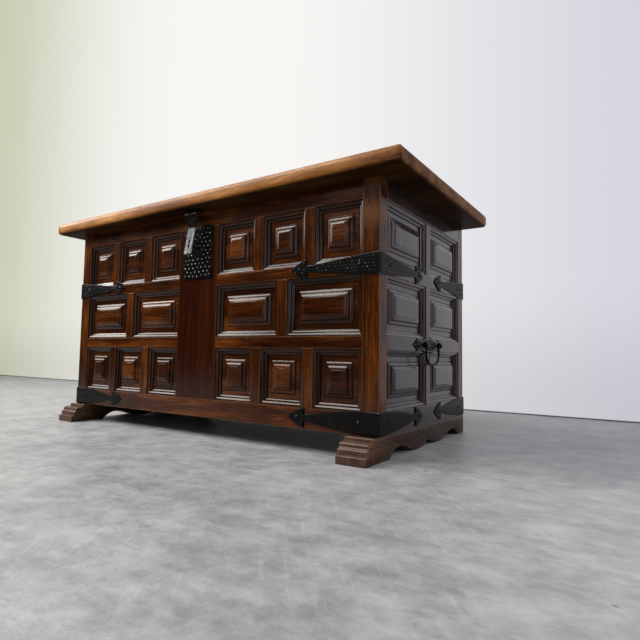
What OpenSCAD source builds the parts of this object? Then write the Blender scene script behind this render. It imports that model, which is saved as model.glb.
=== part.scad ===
/* [Case] */
// Width of the case across its front
case_w = 1100; // [980:10:1300]
// Depth of the case from its front face to its back face
case_d = 545; // [500:5:640]
// Height of the case from its underside to the lid
case_h = 553; // [520:1:620]
// Thickness of the rails, stiles and muntins
frame_t = 30; // [30:1:34]
// Width of a corner post on the front
post_w = 41; // [38:1:50]
// Width of a corner post on the side
post_d = 37; // [36:1:46]
// Height of the top rails
top_rail_h = 44; // [40:1:60]
// Height of the two middle rails
mid_rail_h = 28; // [28:1:36]
// Height of the bottom rails
bottom_rail_h = 47; // [44:1:60]
// Width of the plain stile in the middle of the front
centre_stile_w = 147; // [135:1:180]
// Width of a muntin on the front
muntin_w = 28; // [26:1:36]
// Width of a muntin on the side
side_muntin_w = 24; // [24:1:34]
// Thickness of the boards that close the back
back_board_t = 22; // [20:1:26]
// Thickness of the floor boards
floor_t = 16; // [12:1:18]

/* [Joinery] */
// Thickness of a tenon
tenon_t = 10; // [8:1:10]
// Length of a tenon
tenon_l = 15; // [12:1:16]
// Depth of the front shoulder of a tenon
tenon_d = 10; // [9:1:11]
// Width of a tenon's side shoulder
shoulder = 8; // [8:0.5:9]
// Depth of a groove that holds a panel
groove = 7; // [6:0.5:7.5]
// Room for a panel to move in its groove
panel_play = 0.8; // [0.5:0.1:0.9]
// Clearance round a tenon
tenon_play = 0.2; // [0.1:0.1:0.4]

/* [Panels] */
// Width of the moulding round a panel
moulding_w = 15.5; // [14:0.5:16.5]
// Depth of a panel's ground below the face of the frame
ground_d = 13; // [12:0.5:14]
// Thickness of a panel at its edge
panel_t = 9; // [7:0.5:10]
// Width of the flat ground between moulding and field
ground_w = 13; // [8:0.5:15]
// Width of the lower bevel of the field
low_bevel_w = 8.5; // [6:0.5:9.5]
// Rise of the lower bevel
low_bevel_h = 5; // [4:0.5:6]
// Width of the ledge between the two bevels
ledge_w = 1.2; // [0.6:0.2:3]
// Width of the upper bevel of the field
top_bevel_w = 8.8; // [6:0.2:10]
// Rise of the upper bevel
top_bevel_h = 6; // [4:0.5:6]

/* [Lid] */
// Thickness of the lid
lid_t = 38; // [34:1:44]
// Overhang of the lid at the front
lid_front = 52; // [48:1:56]
// Overhang of the lid at each end
lid_end = 72; // [50:1:90]
// Radius of the lid's upper edge
nose_top_r = 14; // [8:1:18]
// Radius of the lid's lower edge
nose_low_r = 10; // [6:1:14]
// Gap between the closed lid and the case
lid_seat = 0.3; // [0.2:0.1:0.5]
// Width of a batten under the lid
batten_w = 60; // [40:5:90]
// Thickness of a batten under the lid
batten_t = 20; // [15:1:25]
// Distance of each batten from the middle of the lid
batten_x = 330; // [250:10:380]

/* [Feet] */
// Height of the feet
foot_h = 52; // [46:1:60]
// Thickness of a foot
foot_t = 71; // [55:1:80]
// How far a foot stands out in front of the case
foot_nose = 57; // [54:1:70]
// How far a foot stands out past the side of the case
foot_proud = 2; // [0:0.5:4]
// Height of the arches cut in a foot
arch_h = 22; // [18:1:28]
// Distance of each arch from the middle of the case
arch_y = 177; // [165:1:185]
// Distance of each lobe from the middle of the case
lobe_y = 72; // [64:1:80]
// Height of the cusp between the lobes
cusp_h = 14; // [8:1:20]

/* [Corner straps] */
// Thickness of the iron straps
iron_t = 3; // [2:0.5:3.5]
// Length of a strap's leg
strap_l = 230; // [220:1:232]
// Height of a strap at the corner
strap_h = 50; // [40:1:54]
// Length of a leg from the corner to its neck
strap_body_l = 172; // [165:1:176]
// Height of a strap at its neck
neck_h = 16; // [12:1:20]
// Distance of the upper straps above the middle of their rail
strap_rise = 5; // [0:0.5:5]
// Distance of the two ears of a strap's head from the corner
ear_s = 198; // [194:1:202]
// Height of a strap's head across its ears
ear_h = 46; // [36:1:50]
// Radius of an ear
ear_r = 6.5; // [5:0.5:8]
// Distance of the first nail from the corner
nail_near = 46; // [44:1:60]
// Distance of the second nail from the corner
nail_far = 207; // [203:1:209]
// Radius of a nail's head
nail_head_r = 5; // [3.5:0.5:6]
// Height of a nail's head
nail_head_h = 3; // [2:0.5:4]
// Radius of a nail's shank
nail_r = 1.8; // [1.5:0.1:2.2]
// Length of a nail's shank
nail_l = 19; // [12:1:20]

/* [Lock] */
// Width of the lock plate
plate_w = 110; // [106:1:130]
// Height of the lock plate
plate_h = 145; // [135:1:155]
// Distance of the lock plate below the top of the case
plate_drop = 41; // [38:1:46]
// Thickness of the staple
staple_t = 5; // [4:0.5:6]
// Height of the staple
staple_h = 18; // [15:1:20]
// How far the staple stands out from the lock plate
staple_out = 23; // [20:0.5:24]
// Width of the iron round the staple's eye
staple_bar = 4; // [3:0.5:5]
// Distance of the hasp's hinge in front of the case
hasp_out = 30; // [28:0.5:32]
// Distance of the hasp's hinge below the lid
hasp_hang = 14; // [10:1:18]
// Length of the hasp below its hinge
hasp_l = 110; // [106:1:114]
// Width of the hasp's head, just below its hinge
hasp_top_w = 46; // [42:1:52]
// Length of the hasp's head at its full width
hasp_head_l = 4; // [3:0.5:6]
// Length over which the head narrows to the strap
hasp_head_fall = 9; // [6:1:14]
// Width of the hasp's strap
hasp_w = 28; // [24:1:32]
// Thickness of the hasp
hasp_t = 3.5; // [3:0.5:4]
// Distance of the hasp's bend below its hinge
hasp_top_l = 34; // [30:1:38]
// How far the hasp leans in at its bend
hasp_in = 5; // [3:0.5:5.5]
// How far the end of the hasp leans out
hasp_lean = 9; // [7:0.5:11]
// Width of the slot in the hasp
slot_w = 7; // [6.5:0.5:9]
// Length of the slot in the hasp
slot_l = 26; // [24:1:30]
// Distance of the middle of the slot below the hasp's hinge
slot_drop = 82; // [79:1:85]

/* [Side handles] */
// Length of the plate behind a handle
handle_plate_l = 190; // [180:1:210]
// Height of the plate behind a handle
handle_plate_h = 41; // [36:1:48]
// Thickness of the plate behind a handle
handle_plate_t = 3; // [2:0.5:4]
// Distance between the two eyes of a handle
eye_gap = 96; // [86:1:104]
// Distance of the bail's axis from the plate
bail_out = 9; // [8.5:0.5:12]
// Radius of the bail's rod
bail_r = 3.25; // [2.75:0.25:4.25]
// Drop of the bail below its axis
bail_drop = 48; // [44:1:60]
// Radial clearance of a pin or bail in its hole
pin_play = 0.05; // [0.02:0.01:0.1]

/* [Lid hinges] */
// Distance of each hinge from the middle of the lid
hinge_x = 400; // [350:10:430]
// Length of a hinge along its pin
hinge_l = 66; // [54:1:80]
// Height of a hinge leaf
leaf_h = 34; // [28:1:36]
// Thickness of a hinge leaf
leaf_t = 2.5; // [2:0.5:3]
// Radius of a hinge knuckle
knuckle_r = 5; // [4.5:0.25:6]
// Radius of a hinge pin
pin_r = 2.5; // [2:0.25:3]
// Clearance between neighbouring knuckles and round them
knuckle_play = 0.5; // [0.3:0.1:0.6]

/* [Hidden] */

$fn = 48;
eps = 0.01;

// Levels from the floor up
case_z = foot_h;
case_top = case_z + case_h;
lid_low = case_top + lid_seat;
lid_top = lid_low + lid_t;

// Front and back faces, with the middle of the whole chest at y = 0
hinge_out = knuckle_r + knuckle_play;
front_y = -(case_d + hinge_out + knuckle_r - foot_nose) / 2;
back_y = front_y + case_d;
case_mid_y = (front_y + back_y) / 2;

// Three rows of openings, row 0 at the top
row_h = (case_h - top_rail_h - 2 * mid_rail_h - bottom_rail_h) / 3;
function row_z(row) = case_z + bottom_rail_h + (2 - row) * (row_h + mid_rail_h);
function rail_z(rail) = row_z(rail) - mid_rail_h;

// Openings along a wall: a start and an equal width for each
function equal_w(span, count, bar) = (span - (count - 1) * bar) / count;
function starts(from, span, count, bar) =
    [for (k = [0 : count - 1]) from + k * (equal_w(span, count, bar) + bar)];

// The front has two blocks, one on each side of the centre stile
front_counts = [3, 2, 3];
block_w = (case_w - centre_stile_w) / 2 - post_w;
block_from = [-case_w / 2 + post_w, centre_stile_w / 2];
function front_w(row) = equal_w(block_w, front_counts[row], muntin_w);
function front_starts(row) =
    [for (from = block_from) for (u = starts(from, block_w, front_counts[row], muntin_w)) u];

// Each side has two columns
side_from = front_y + post_d;
side_span = case_d - 2 * post_d;
side_w = equal_w(side_span, 2, side_muntin_w);
side_starts = starts(side_from, side_span, 2, side_muntin_w);

// Straps lie on the upper middle rail and on the bottom rail
strap_lift = 1;
strap_z = [rail_z(0) + mid_rail_h / 2 + strap_rise, case_z + strap_h / 2 + strap_lift];
strap_nails = [nail_near, nail_far];

// The hasp's hinge under the lid, and the bend of its strap
hasp_knuckle_r = 4;
hasp_pin_r = 2;
hasp_axis_y = front_y - hasp_out;
hasp_axis_z = lid_low - hasp_hang;
hasp_bend = (hasp_in + hasp_lean) / (hasp_l - hasp_top_l);
function hasp_y(drop) = hasp_in - (drop - hasp_top_l) * hasp_bend;

// The staple lies where the slot comes when the hasp swings in to shut
hasp_shut = 17;
staple_z = hasp_axis_z - slot_drop * cos(hasp_shut) + hasp_y(slot_drop) * sin(hasp_shut);
staple_leg_l = 24;
staple_play = 0.2;
plate_top = case_top - plate_drop;

// The side handles sit on the lower middle rail
handle_z = rail_z(1) + mid_rail_h / 2;
handle_nail_in = 22;
eye_t = 7;
eye_r = 7;
eye_play = 0.5;
eye_shank = 4;
eye_shank_l = 23;
corner_r = 24;

// Helpers

module block(low, high) {
    translate(low)
        cube(high - low);
}

// Points of an arc about a centre, from one angle to another
function arc(centre, r, from, to, steps = 6) =
    [for (k = [0 : steps]) let (a = from + (to - from) * k / steps) centre + r * [cos(a), sin(a)]];

// A wall is drawn with u along it, depth behind its face as y, and z up
module on_front() {
    translate([0, front_y, 0])
        children();
}

module on_back() {
    translate([0, back_y, 0])
        rotate([0, 0, 180])
            children();
}

module on_right() {
    translate([case_w / 2, 0, 0])
        rotate([0, 0, 90])
            children();
}

module on_left() {
    mirror([1, 0, 0])
        on_right()
            children();
}

// An outline in z and depth, carried along u
module along_u(u0, u1) {
    translate([u1, 0, 0])
        rotate([0, -90, 0])
            linear_extrude(u1 - u0)
                children();
}

// Frame joinery

module panel_groove(u0, z0, w) {
    block([u0 - groove, ground_d, z0 - groove], [u0 + w + groove, ground_d + panel_t, z0 + row_h + groove]);
}

module front_grooves() {
    for (row = [0 : 2])
        for (u = front_starts(row))
            panel_groove(u, row_z(row), front_w(row));
}

module side_grooves() {
    for (row = [0 : 2])
        for (u = side_starts)
            panel_groove(u, row_z(row), side_w);
}

// A tenon along u, from a root inside its shoulder at u outwards in the given direction
tenon_root = 1;

module rail_tenon(u, way, z0, z1, play = 0) {
    near = u - way * (tenon_root + play);
    far = u + way * (tenon_l + play);
    block([min(near, far), tenon_d - play, z0 + shoulder - play],
          [max(near, far), tenon_d + tenon_t + play, z1 - shoulder + play]);
}

// An upright tenon on the end of a muntin
module muntin_tenon(u0, u1, z, way, length, play = 0) {
    near = z - way * (tenon_root + play);
    far = z + way * (length + play);
    block([u0 + shoulder - play, tenon_d - play, min(near, far)],
          [u1 - shoulder + play, tenon_d + tenon_t + play, max(near, far)]);
}

module rail(u0, u1, z0, z1) {
    block([u0, 0, z0], [u1, frame_t, z1]);
    rail_tenon(u0, -1, z0, z1);
    rail_tenon(u1, 1, z0, z1);
}

module rail_mortises(u0, u1, z0, z1) {
    rail_tenon(u0, -1, z0, z1, tenon_play);
    rail_tenon(u1, 1, z0, z1, tenon_play);
}

muntin_tenon_l = mid_rail_h / 2 - 4;

module muntin(u0, w, row) {
    block([u0, 0, row_z(row)], [u0 + w, frame_t, row_z(row) + row_h]);
    muntin_tenon(u0, u0 + w, row_z(row), -1, muntin_tenon_l);
    muntin_tenon(u0, u0 + w, row_z(row) + row_h, 1, muntin_tenon_l);
}

module muntin_mortises(u0, w, row) {
    muntin_tenon(u0, u0 + w, row_z(row), -1, muntin_tenon_l, tenon_play);
    muntin_tenon(u0, u0 + w, row_z(row) + row_h, 1, muntin_tenon_l, tenon_play);
}

// Starts of the muntins of one row: after every opening but a block's last
function front_muntins_at(row) =
    [for (from = block_from) for (k = [1 : front_counts[row] - 1])
        from + k * (front_w(row) + muntin_w) - muntin_w];
side_muntin_at = side_from + side_w;

rails_z = [
    [case_top - top_rail_h, case_top],
    [rail_z(0), rail_z(0) + mid_rail_h],
    [rail_z(1), rail_z(1) + mid_rail_h],
    [case_z, case_z + bottom_rail_h]
];
front_ends = [-case_w / 2 + post_w, case_w / 2 - post_w];
side_ends = [side_from, side_from + side_span];
stile_ends = [-centre_stile_w / 2, centre_stile_w / 2];

module front_rail_mortises() {
    for (z = rails_z)
        rail_mortises(front_ends[0], front_ends[1], z[0], z[1]);
}

module side_rail_mortises() {
    for (z = rails_z)
        rail_mortises(side_ends[0], side_ends[1], z[0], z[1]);
}

module front_muntin_mortises() {
    for (row = [0 : 2])
        for (u = front_muntins_at(row))
            muntin_mortises(u, muntin_w, row);
}

module side_muntin_mortises() {
    for (row = [0 : 2])
        muntin_mortises(side_muntin_at, side_muntin_w, row);
}

// Nails

module nail() {
    translate([0, -nail_head_h, 0])
        rotate([-90, 0, 0])
            cylinder(h = nail_head_h, r1 = nail_head_r * 0.6, r2 = nail_head_r);
    rotate([-90, 0, 0])
        cylinder(h = nail_l, r = nail_r);
}

module nail_hole() {
    translate([0, -nail_head_h - iron_t, 0])
        rotate([-90, 0, 0])
            cylinder(h = nail_l + nail_head_h + iron_t + 1, r = nail_r + pin_play);
}

// Both ends of one wall, at the strap heights; a child is placed at each nail
module at_strap_nails(low_u, high_u, heights) {
    for (z = heights)
        for (s = strap_nails) {
            translate([low_u + s, -iron_t, z])
                children();
            translate([high_u - s, -iron_t, z])
                children();
        }
}

module front_strap_holes() {
    at_strap_nails(-case_w / 2, case_w / 2, strap_z)
        nail_hole();
}

module side_strap_holes() {
    at_strap_nails(front_y, back_y, strap_z)
        nail_hole();
}

handle_nails = [-1, 1] * (handle_plate_l / 2 - handle_nail_in);

module at_handle_nails() {
    for (u = handle_nails)
        translate([case_mid_y + u, -handle_plate_t, handle_z])
            children();
}

plate_nail_x = plate_w / 2 - 9;
plate_nail_z = [plate_top - 9, plate_top - plate_h + 9];

module at_plate_nails() {
    for (z = plate_nail_z)
        for (x = [-plate_nail_x, plate_nail_x])
            translate([x, -iron_t, z])
                children();
}

hinge_nail_x = [-1, 1] * (hinge_l / 2 - 14);

module at_hinge_nails(z) {
    for (side = [-1, 1])
        for (x = hinge_nail_x)
            translate([side * hinge_x + x, -leaf_t, z])
                children();
}

// Case frame

module post_box(x_side, y_low) {
    x = x_side < 0 ? -case_w / 2 : case_w / 2 - post_w;
    block([x, y_low, case_z], [x + post_w, y_low + post_d, case_top]);
}

module side_cuts(x_side) {
    if (x_side < 0)
        on_left() {
            side_grooves();
            side_rail_mortises();
        }
    else
        on_right() {
            side_grooves();
            side_rail_mortises();
        }
}

module front_post(x_side) {
    color("saddlebrown")
        difference() {
            post_box(x_side, front_y);
            on_front() {
                front_grooves();
                front_rail_mortises();
            }
            side_cuts(x_side);
        }
}

// A groove down the inner face of a back post takes the ends of the back boards
back_tongue_l = 12;
back_tongue_d = 6;
back_tongue_t = back_board_t - 2 * back_tongue_d;

module back_post(x_side) {
    color("saddlebrown")
        difference() {
            post_box(x_side, back_y - post_d);
            on_back()
                block([front_ends[0] - back_tongue_l - tenon_play, back_tongue_d, case_z - 1],
                      [front_ends[1] + back_tongue_l + tenon_play, back_tongue_d + back_tongue_t,
                       case_top + 1]);
            side_cuts(x_side);
        }
}

stile_tenon_l = tenon_l;
stile_shoulder = 24;

module stile_tenon(z, way, play = 0) {
    near = z - way * (tenon_root + play);
    far = z + way * (stile_tenon_l + play);
    block([stile_ends[0] + stile_shoulder - play, tenon_d - play, min(near, far)],
          [stile_ends[1] - stile_shoulder + play, tenon_d + tenon_t + play, max(near, far)]);
}

module front_top_rail() {
    color("saddlebrown")
        on_front()
            difference() {
                rail(front_ends[0], front_ends[1], rails_z[0][0], rails_z[0][1]);
                front_grooves();
                front_muntin_mortises();
                stile_tenon(rails_z[0][0], 1, tenon_play);
            }
}

module front_bottom_rail() {
    color("saddlebrown")
        on_front()
            difference() {
                rail(front_ends[0], front_ends[1], rails_z[3][0], rails_z[3][1]);
                front_grooves();
                front_muntin_mortises();
                stile_tenon(rails_z[3][1], -1, tenon_play);
                front_strap_holes();
            }
}

// A pair of short rails, one on each side of the centre stile
module front_mid_rails(index) {
    color("saddlebrown")
        on_front()
            difference() {
                for (from = block_from)
                    rail(from, from + block_w, rails_z[index][0], rails_z[index][1]);
                front_grooves();
                front_muntin_mortises();
                front_strap_holes();
            }
}

module front_centre_stile() {
    color("sienna")
        on_front()
            difference() {
                union() {
                    block([stile_ends[0], 0, rails_z[3][1]], [stile_ends[1], frame_t, rails_z[0][0]]);
                    stile_tenon(rails_z[0][0], 1);
                    stile_tenon(rails_z[3][1], -1);
                }
                front_grooves();
                for (index = [1, 2])
                    for (from = block_from)
                        rail_mortises(from, from + block_w, rails_z[index][0], rails_z[index][1]);
                staple_holes();
                at_plate_nails()
                    nail_hole();
            }
}

module front_muntins() {
    color("saddlebrown")
        on_front()
            difference() {
                for (row = [0 : 2])
                    for (u = front_muntins_at(row))
                        muntin(u, muntin_w, row);
                front_grooves();
            }
}

// Panels and mouldings

// Half of the field's section: distance in from the opening's edge, and depth
field_steps = [
    [moulding_w + ground_w, ground_d + 1],
    [moulding_w + ground_w, ground_d],
    [moulding_w + ground_w + low_bevel_w, ground_d - low_bevel_h],
    [moulding_w + ground_w + low_bevel_w + ledge_w, ground_d - low_bevel_h],
    [moulding_w + ground_w + low_bevel_w + ledge_w + top_bevel_w, ground_d - low_bevel_h - top_bevel_h]
];

// Half of the moulding's section: a fillet, a round, a shelf, a hollow and a thin end
lip_d = 0.8;
lip_w = 2;
round_d = 2;
shelf_d = 8;
shelf_w = 1.5;
end_h = 0.6;
end_w = 2.6;
hollow_r = ground_d - end_h - shelf_d;
round_r = moulding_w - lip_w - shelf_w - hollow_r - end_w;
moulding_curve = concat(
    [[0.001, -1], [0.001, lip_d], [lip_w, lip_d]],
    arc([lip_w, round_d + round_r], round_r, -90, 0, 4),
    [[lip_w + round_r, shelf_d]],
    arc([moulding_w - end_w, shelf_d], hollow_r, 180, 90, 4),
    [[moulding_w, ground_d - end_h], [moulding_w, ground_d + 1]]
);

// A section that is the same at both edges of an opening
function both_edges(half, from, w) = concat(
    [for (p = half) [from + p[0], p[1]]],
    [for (k = [len(half) - 1 : -1 : 0]) [from + w - half[k][0], half[k][1]]]
);

// What both sections share, so that the corners are mitred
module mitred(half, u0, z0, w) {
    intersection() {
        translate([0, 0, z0 - 1])
            linear_extrude(row_h + 2)
                polygon(both_edges(half, u0, w));
        along_u(u0 - 1, u0 + w + 1)
            polygon(both_edges(half, z0, row_h));
    }
}

module raised_panel(u0, z0, w) {
    tongue = groove - panel_play;
    block([u0 - tongue, ground_d, z0 - tongue], [u0 + w + tongue, ground_d + panel_t, z0 + row_h + tongue]);
    mitred(field_steps, u0, z0, w);
}

module moulding_frame(u0, z0, w) {
    difference() {
        block([u0, lip_d, z0], [u0 + w, ground_d, z0 + row_h]);
        mitred(moulding_curve, u0, z0, w);
    }
}

module front_panels(row) {
    color("brown")
        on_front()
            for (u = front_starts(row))
                raised_panel(u, row_z(row), front_w(row));
}

module front_mouldings(row) {
    color("peru")
        on_front()
            for (u = front_starts(row))
                moulding_frame(u, row_z(row), front_w(row));
}

// Parts of a side wall, drawn once for both ends

module side_rail(index) {
    difference() {
        rail(side_ends[0], side_ends[1], rails_z[index][0], rails_z[index][1]);
        side_grooves();
        side_muntin_mortises();
        side_strap_holes();
        if (index == 2) {
            at_handle_nails()
                nail_hole();
            at_eyes()
                eye_hole();
        }
    }
}

module side_muntins() {
    difference() {
        for (row = [0 : 2])
            muntin(side_muntin_at, side_muntin_w, row);
        side_grooves();
    }
}

module side_panels() {
    for (row = [0 : 2])
        for (u = side_starts)
            raised_panel(u, row_z(row), side_w);
}

module side_mouldings() {
    for (row = [0 : 2])
        for (u = side_starts)
            moulding_frame(u, row_z(row), side_w);
}

// Back and floor

board_tongue = 6;

// A tongue across the back, from one end board to the other
module back_tongue(end, z0, z1, play = 0) {
    block([front_ends[0] - end, back_tongue_d - play, z0],
          [front_ends[1] + end, back_tongue_d + back_tongue_t + play, z1 + play]);
}

// Three boards, each with a thin seam over it
back_seam = 0.4;

module back_boards() {
    board_h = case_h / 3;
    color("saddlebrown")
        on_back()
            difference() {
                for (k = [0 : 2]) {
                    z0 = case_z + k * board_h;
                    difference() {
                        union() {
                            block([front_ends[0], 0, z0],
                                  [front_ends[1], back_board_t, z0 + board_h - back_seam]);
                            back_tongue(back_tongue_l, z0, z0 + board_h - back_seam);
                        }
                        if (k > 0)
                            back_tongue(back_tongue_l + 1, z0 - 1, z0 + board_tongue, tenon_play);
                    }
                    if (k < 2)
                        back_tongue(-board_tongue, z0 + board_h - 1, z0 + board_h + board_tongue);
                }
                front_strap_holes();
                at_hinge_nails(case_top - hinge_nail_drop)
                    nail_hole();
            }
}

floor_count = 8;
floor_z = case_z + bottom_rail_h - floor_t - 8;
floor_gap = 0.5;

module floor_boards() {
    inner_w = case_w - 2 * frame_t;
    board_w = inner_w / floor_count;
    color("burlywood")
        difference() {
            for (k = [0 : floor_count - 1])
                block([-inner_w / 2 + k * board_w + floor_gap / 2, front_y + frame_t + floor_gap, floor_z],
                      [-inner_w / 2 + (k + 1) * board_w - floor_gap / 2, back_y - back_board_t - floor_gap,
                       floor_z + floor_t]);
            for (x_side = [-1, 1])
                for (y = [front_y, back_y - post_d])
                    post_notch(x_side, y);
        }
}

// A post grown by the floor's gap, to notch the floor round it
module post_notch(x_side, y_low) {
    x = x_side < 0 ? -case_w / 2 : case_w / 2 - post_w;
    block([x - floor_gap, y_low - floor_gap, case_z],
          [x + post_w + floor_gap, y_low + post_d + floor_gap, case_top]);
}

cleat_w = 22;
cleat_in = 10;
cleat_lift = 2;

module floor_cleats() {
    color("burlywood")
        for (y = [front_y + frame_t, back_y - back_board_t - cleat_w])
            block([front_ends[0] + cleat_in, y, case_z + cleat_lift],
                  [front_ends[1] - cleat_in, y + cleat_w, floor_z]);
}

// Feet

// Height of a foot's lower edge above the floor, at a distance from the middle:
// a round lobe, a slow rise to the top of the arch and a steep fall to the pad
lobe_lift = 1.2;
arch_out = 45;
function foot_edge(s) =
    s < lobe_y ? lobe_lift + cusp_h * pow(1 - s / lobe_y, 2)
    : s < arch_y ? lobe_lift + (arch_h - lobe_lift) * (1 - cos(180 * (s - lobe_y) / (arch_y - lobe_y))) / 2
    : arch_h * (1 - pow((s - arch_y) / arch_out, 2));
foot_steps = 30;
foot_step = (arch_y + arch_out) / foot_steps;

// The front of a foot: four reeds, each set back from the one below it
reed_h = [14, 11, 9];
reed_back = [0, 8, 15, 36];
reed_r = [3, 6, 6, 4];
reed_first = foot_h - reed_h[0] - reed_h[1] - reed_h[2];
function reed_z(k) = k == 0 ? 0 : k == 1 ? reed_first : reed_z(k - 1) + reed_h[k - 2];
function reed_y(k) = front_y - foot_nose + reed_back[k];

foot_outline = concat(
    [for (k = [0 : 3]) each concat(
        [[reed_y(k), reed_z(k)]],
        arc([reed_y(k) + reed_r[k], (k < 3 ? reed_z(k + 1) : foot_h) - reed_r[k]], reed_r[k], 180, 90, 4))],
    [[back_y, foot_h]],
    [[back_y, 0]],
    [for (k = [foot_steps : -1 : -foot_steps]) [case_mid_y + k * foot_step, foot_edge(abs(k) * foot_step)]]
);

module foot(x_side) {
    x = x_side < 0 ? -case_w / 2 - foot_proud : case_w / 2 + foot_proud - foot_t;
    color("saddlebrown")
        along_u(x, x + foot_t)
            mirror([1, 0, 0])
                rotate([0, 0, 90])
                    polygon(foot_outline);
}

// Lid

lid_depth = lid_front + case_d;
lid_board_w = lid_depth / 3;
lid_tongue = 8;
lid_tongue_t = 10;

// The lid's section from front to back, and from end to end
lid_section = concat(
    arc([front_y - lid_front + nose_low_r, lid_low + nose_low_r], nose_low_r, 270, 180),
    arc([front_y - lid_front + nose_top_r, lid_top - nose_top_r], nose_top_r, 180, 90),
    [[back_y, lid_top], [back_y, lid_low]]
);
lid_half_l = case_w / 2 + lid_end;
lid_end_section = concat(
    arc([-lid_half_l + nose_low_r, lid_low + nose_low_r], nose_low_r, 270, 180),
    arc([-lid_half_l + nose_top_r, lid_top - nose_top_r], nose_top_r, 180, 90),
    arc([lid_half_l - nose_top_r, lid_top - nose_top_r], nose_top_r, 90, 0),
    arc([lid_half_l - nose_low_r, lid_low + nose_low_r], nose_low_r, 0, -90)
);

module lid_shape() {
    intersection() {
        rotate([90, 0, 90])
            translate([0, 0, -lid_half_l - 1])
                linear_extrude(2 * lid_half_l + 2)
                    polygon(lid_section);
        translate([0, back_y + 1, 0])
            rotate([90, 0, 0])
                linear_extrude(lid_depth + 2)
                    polygon(lid_end_section);
    }
}

// One board of the lid, with a tongue at its back edge and a groove at its front
module lid_board(index) {
    y0 = front_y - lid_front + index * lid_board_w;
    y1 = y0 + lid_board_w;
    mid_z = (lid_low + lid_top) / 2;
    in_l = lid_half_l - 40;
    color("chocolate")
        difference() {
            intersection() {
                lid_shape();
                union() {
                    block([-lid_half_l - 1, y0, lid_low - 1], [lid_half_l + 1, y1, lid_top + 1]);
                    if (index < 2)
                        block([-in_l, y1 - eps, mid_z - lid_tongue_t / 2],
                              [in_l, y1 + lid_tongue, mid_z + lid_tongue_t / 2]);
                }
            }
            if (index > 0)
                block([-in_l - tenon_play, y0 - 1, mid_z - lid_tongue_t / 2 - tenon_play],
                      [in_l + tenon_play, y0 + lid_tongue + tenon_play,
                       mid_z + lid_tongue_t / 2 + tenon_play]);
            if (index == 0)
                on_front()
                    at_hasp_nails()
                        lid_nail_hole();
            if (index == 2)
                on_back()
                    at_hinge_nails(lid_low + hinge_nail_drop)
                        nail_hole();
        }
}

// Each batten hangs inside the case, with its ends sloped
batten_gap = 12;
batten_slope = 12;
batten_section = [
    [front_y + frame_t + batten_gap, lid_low],
    [front_y + frame_t + batten_gap, lid_low - batten_t / 2],
    [front_y + frame_t + batten_gap + batten_slope, lid_low - batten_t],
    [back_y - back_board_t - batten_gap - batten_slope, lid_low - batten_t],
    [back_y - back_board_t - batten_gap, lid_low - batten_t / 2],
    [back_y - back_board_t - batten_gap, lid_low]
];

module lid_battens() {
    color("chocolate")
        for (side = [-1, 1])
            translate([side * batten_x - batten_w / 2, 0, 0])
                rotate([90, 0, 90])
                    linear_extrude(batten_w)
                        polygon(batten_section);
}

// Corner straps

// Half a strap's height at a distance from the corner: 1 tapers it straight, 2 like a bell
function strap_half(s, bell) = strap_h / 2 - (strap_h - neck_h) / 2 * pow(s / strap_body_l, bell);
strap_steps = 10;
strap_bell = [1.2, 2.2];
tip_l = 10;
tip_h = 18;

// The bell-shaped body ends in a neck, and the head is a spade with a round ear at each shoulder
module strap_outline(bell) {
    ear = ear_h / 2 - ear_r;
    body = [for (k = [0 : strap_steps]) strap_body_l * k / strap_steps];
    polygon(concat(
        [for (s = body) [s, strap_half(s, bell)]],
        [[ear_s, neck_h / 2]],
        [[ear_s, -neck_h / 2]],
        [for (k = [strap_steps : -1 : 0]) [body[k], -strap_half(body[k], bell)]]
    ));
    polygon([
        [ear_s - ear_r, -ear], [ear_s - ear_r, ear], [ear_s + ear_r / 2, ear_h / 2 - ear_r / 6],
        [strap_l - tip_l, tip_h / 2], [strap_l, 0], [strap_l - tip_l, -tip_h / 2],
        [ear_s + ear_r / 2, ear_r / 6 - ear_h / 2]
    ]);
    for (side = [-1, 1])
        translate([ear_s, side * ear])
            circle(r = ear_r);
}

// A leg lies on its wall, from the corner at u = 0 along +u
module strap_leg(z, bell) {
    difference() {
        translate([0, 0, z])
            rotate([90, 0, 0])
                linear_extrude(iron_t)
                    strap_outline(bell);
        for (s = strap_nails)
            translate([s, -iron_t, z])
                nail_hole();
    }
}

// Two legs and the bend between them; the corner is at the origin, walls on +x and +y
module corner_strap(z, bell) {
    strap_leg(z, bell);
    mirror([1, -1, 0])
        strap_leg(z, bell);
    intersection() {
        translate([0, 0, z - strap_h / 2])
            cylinder(h = strap_h, r = iron_t);
        block([-iron_t, -iron_t, z - strap_h / 2], [0, 0, z + strap_h / 2]);
    }
}

module corner_straps(z, bell) {
    color("dimgray")
        for (x_side = [0, 1])
            mirror([x_side, 0, 0]) {
                translate([-case_w / 2, front_y, 0])
                    corner_strap(z, bell);
                translate([-case_w / 2, back_y, 0])
                    mirror([0, 1, 0])
                        corner_strap(z, bell);
            }
}

module case_nails() {
    color("black") {
        on_front() {
            at_strap_nails(-case_w / 2, case_w / 2, strap_z)
                nail();
            at_plate_nails()
                nail();
        }
        on_back() {
            at_strap_nails(-case_w / 2, case_w / 2, strap_z)
                nail();
            at_hinge_nails(case_top - hinge_nail_drop)
                nail();
        }
        for (x_side = [0, 1])
            mirror([x_side, 0, 0])
                on_right() {
                    at_strap_nails(front_y, back_y, strap_z)
                        nail();
                    at_handle_nails()
                        nail();
                }
    }
}

// Nails of the lid's own ironwork
hinge_nail_drop = 22;
hasp_nail_x = 16;
hasp_nail_in = 6;
hasp_leaf_t = 2;
hasp_leaf_end = 4;

module at_hasp_nails() {
    for (x = [-hasp_nail_x, hasp_nail_x])
        translate([x, -hasp_leaf_end - hasp_nail_in, lid_low - hasp_leaf_t])
            children();
}

upward_head_h = 1.5;

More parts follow.
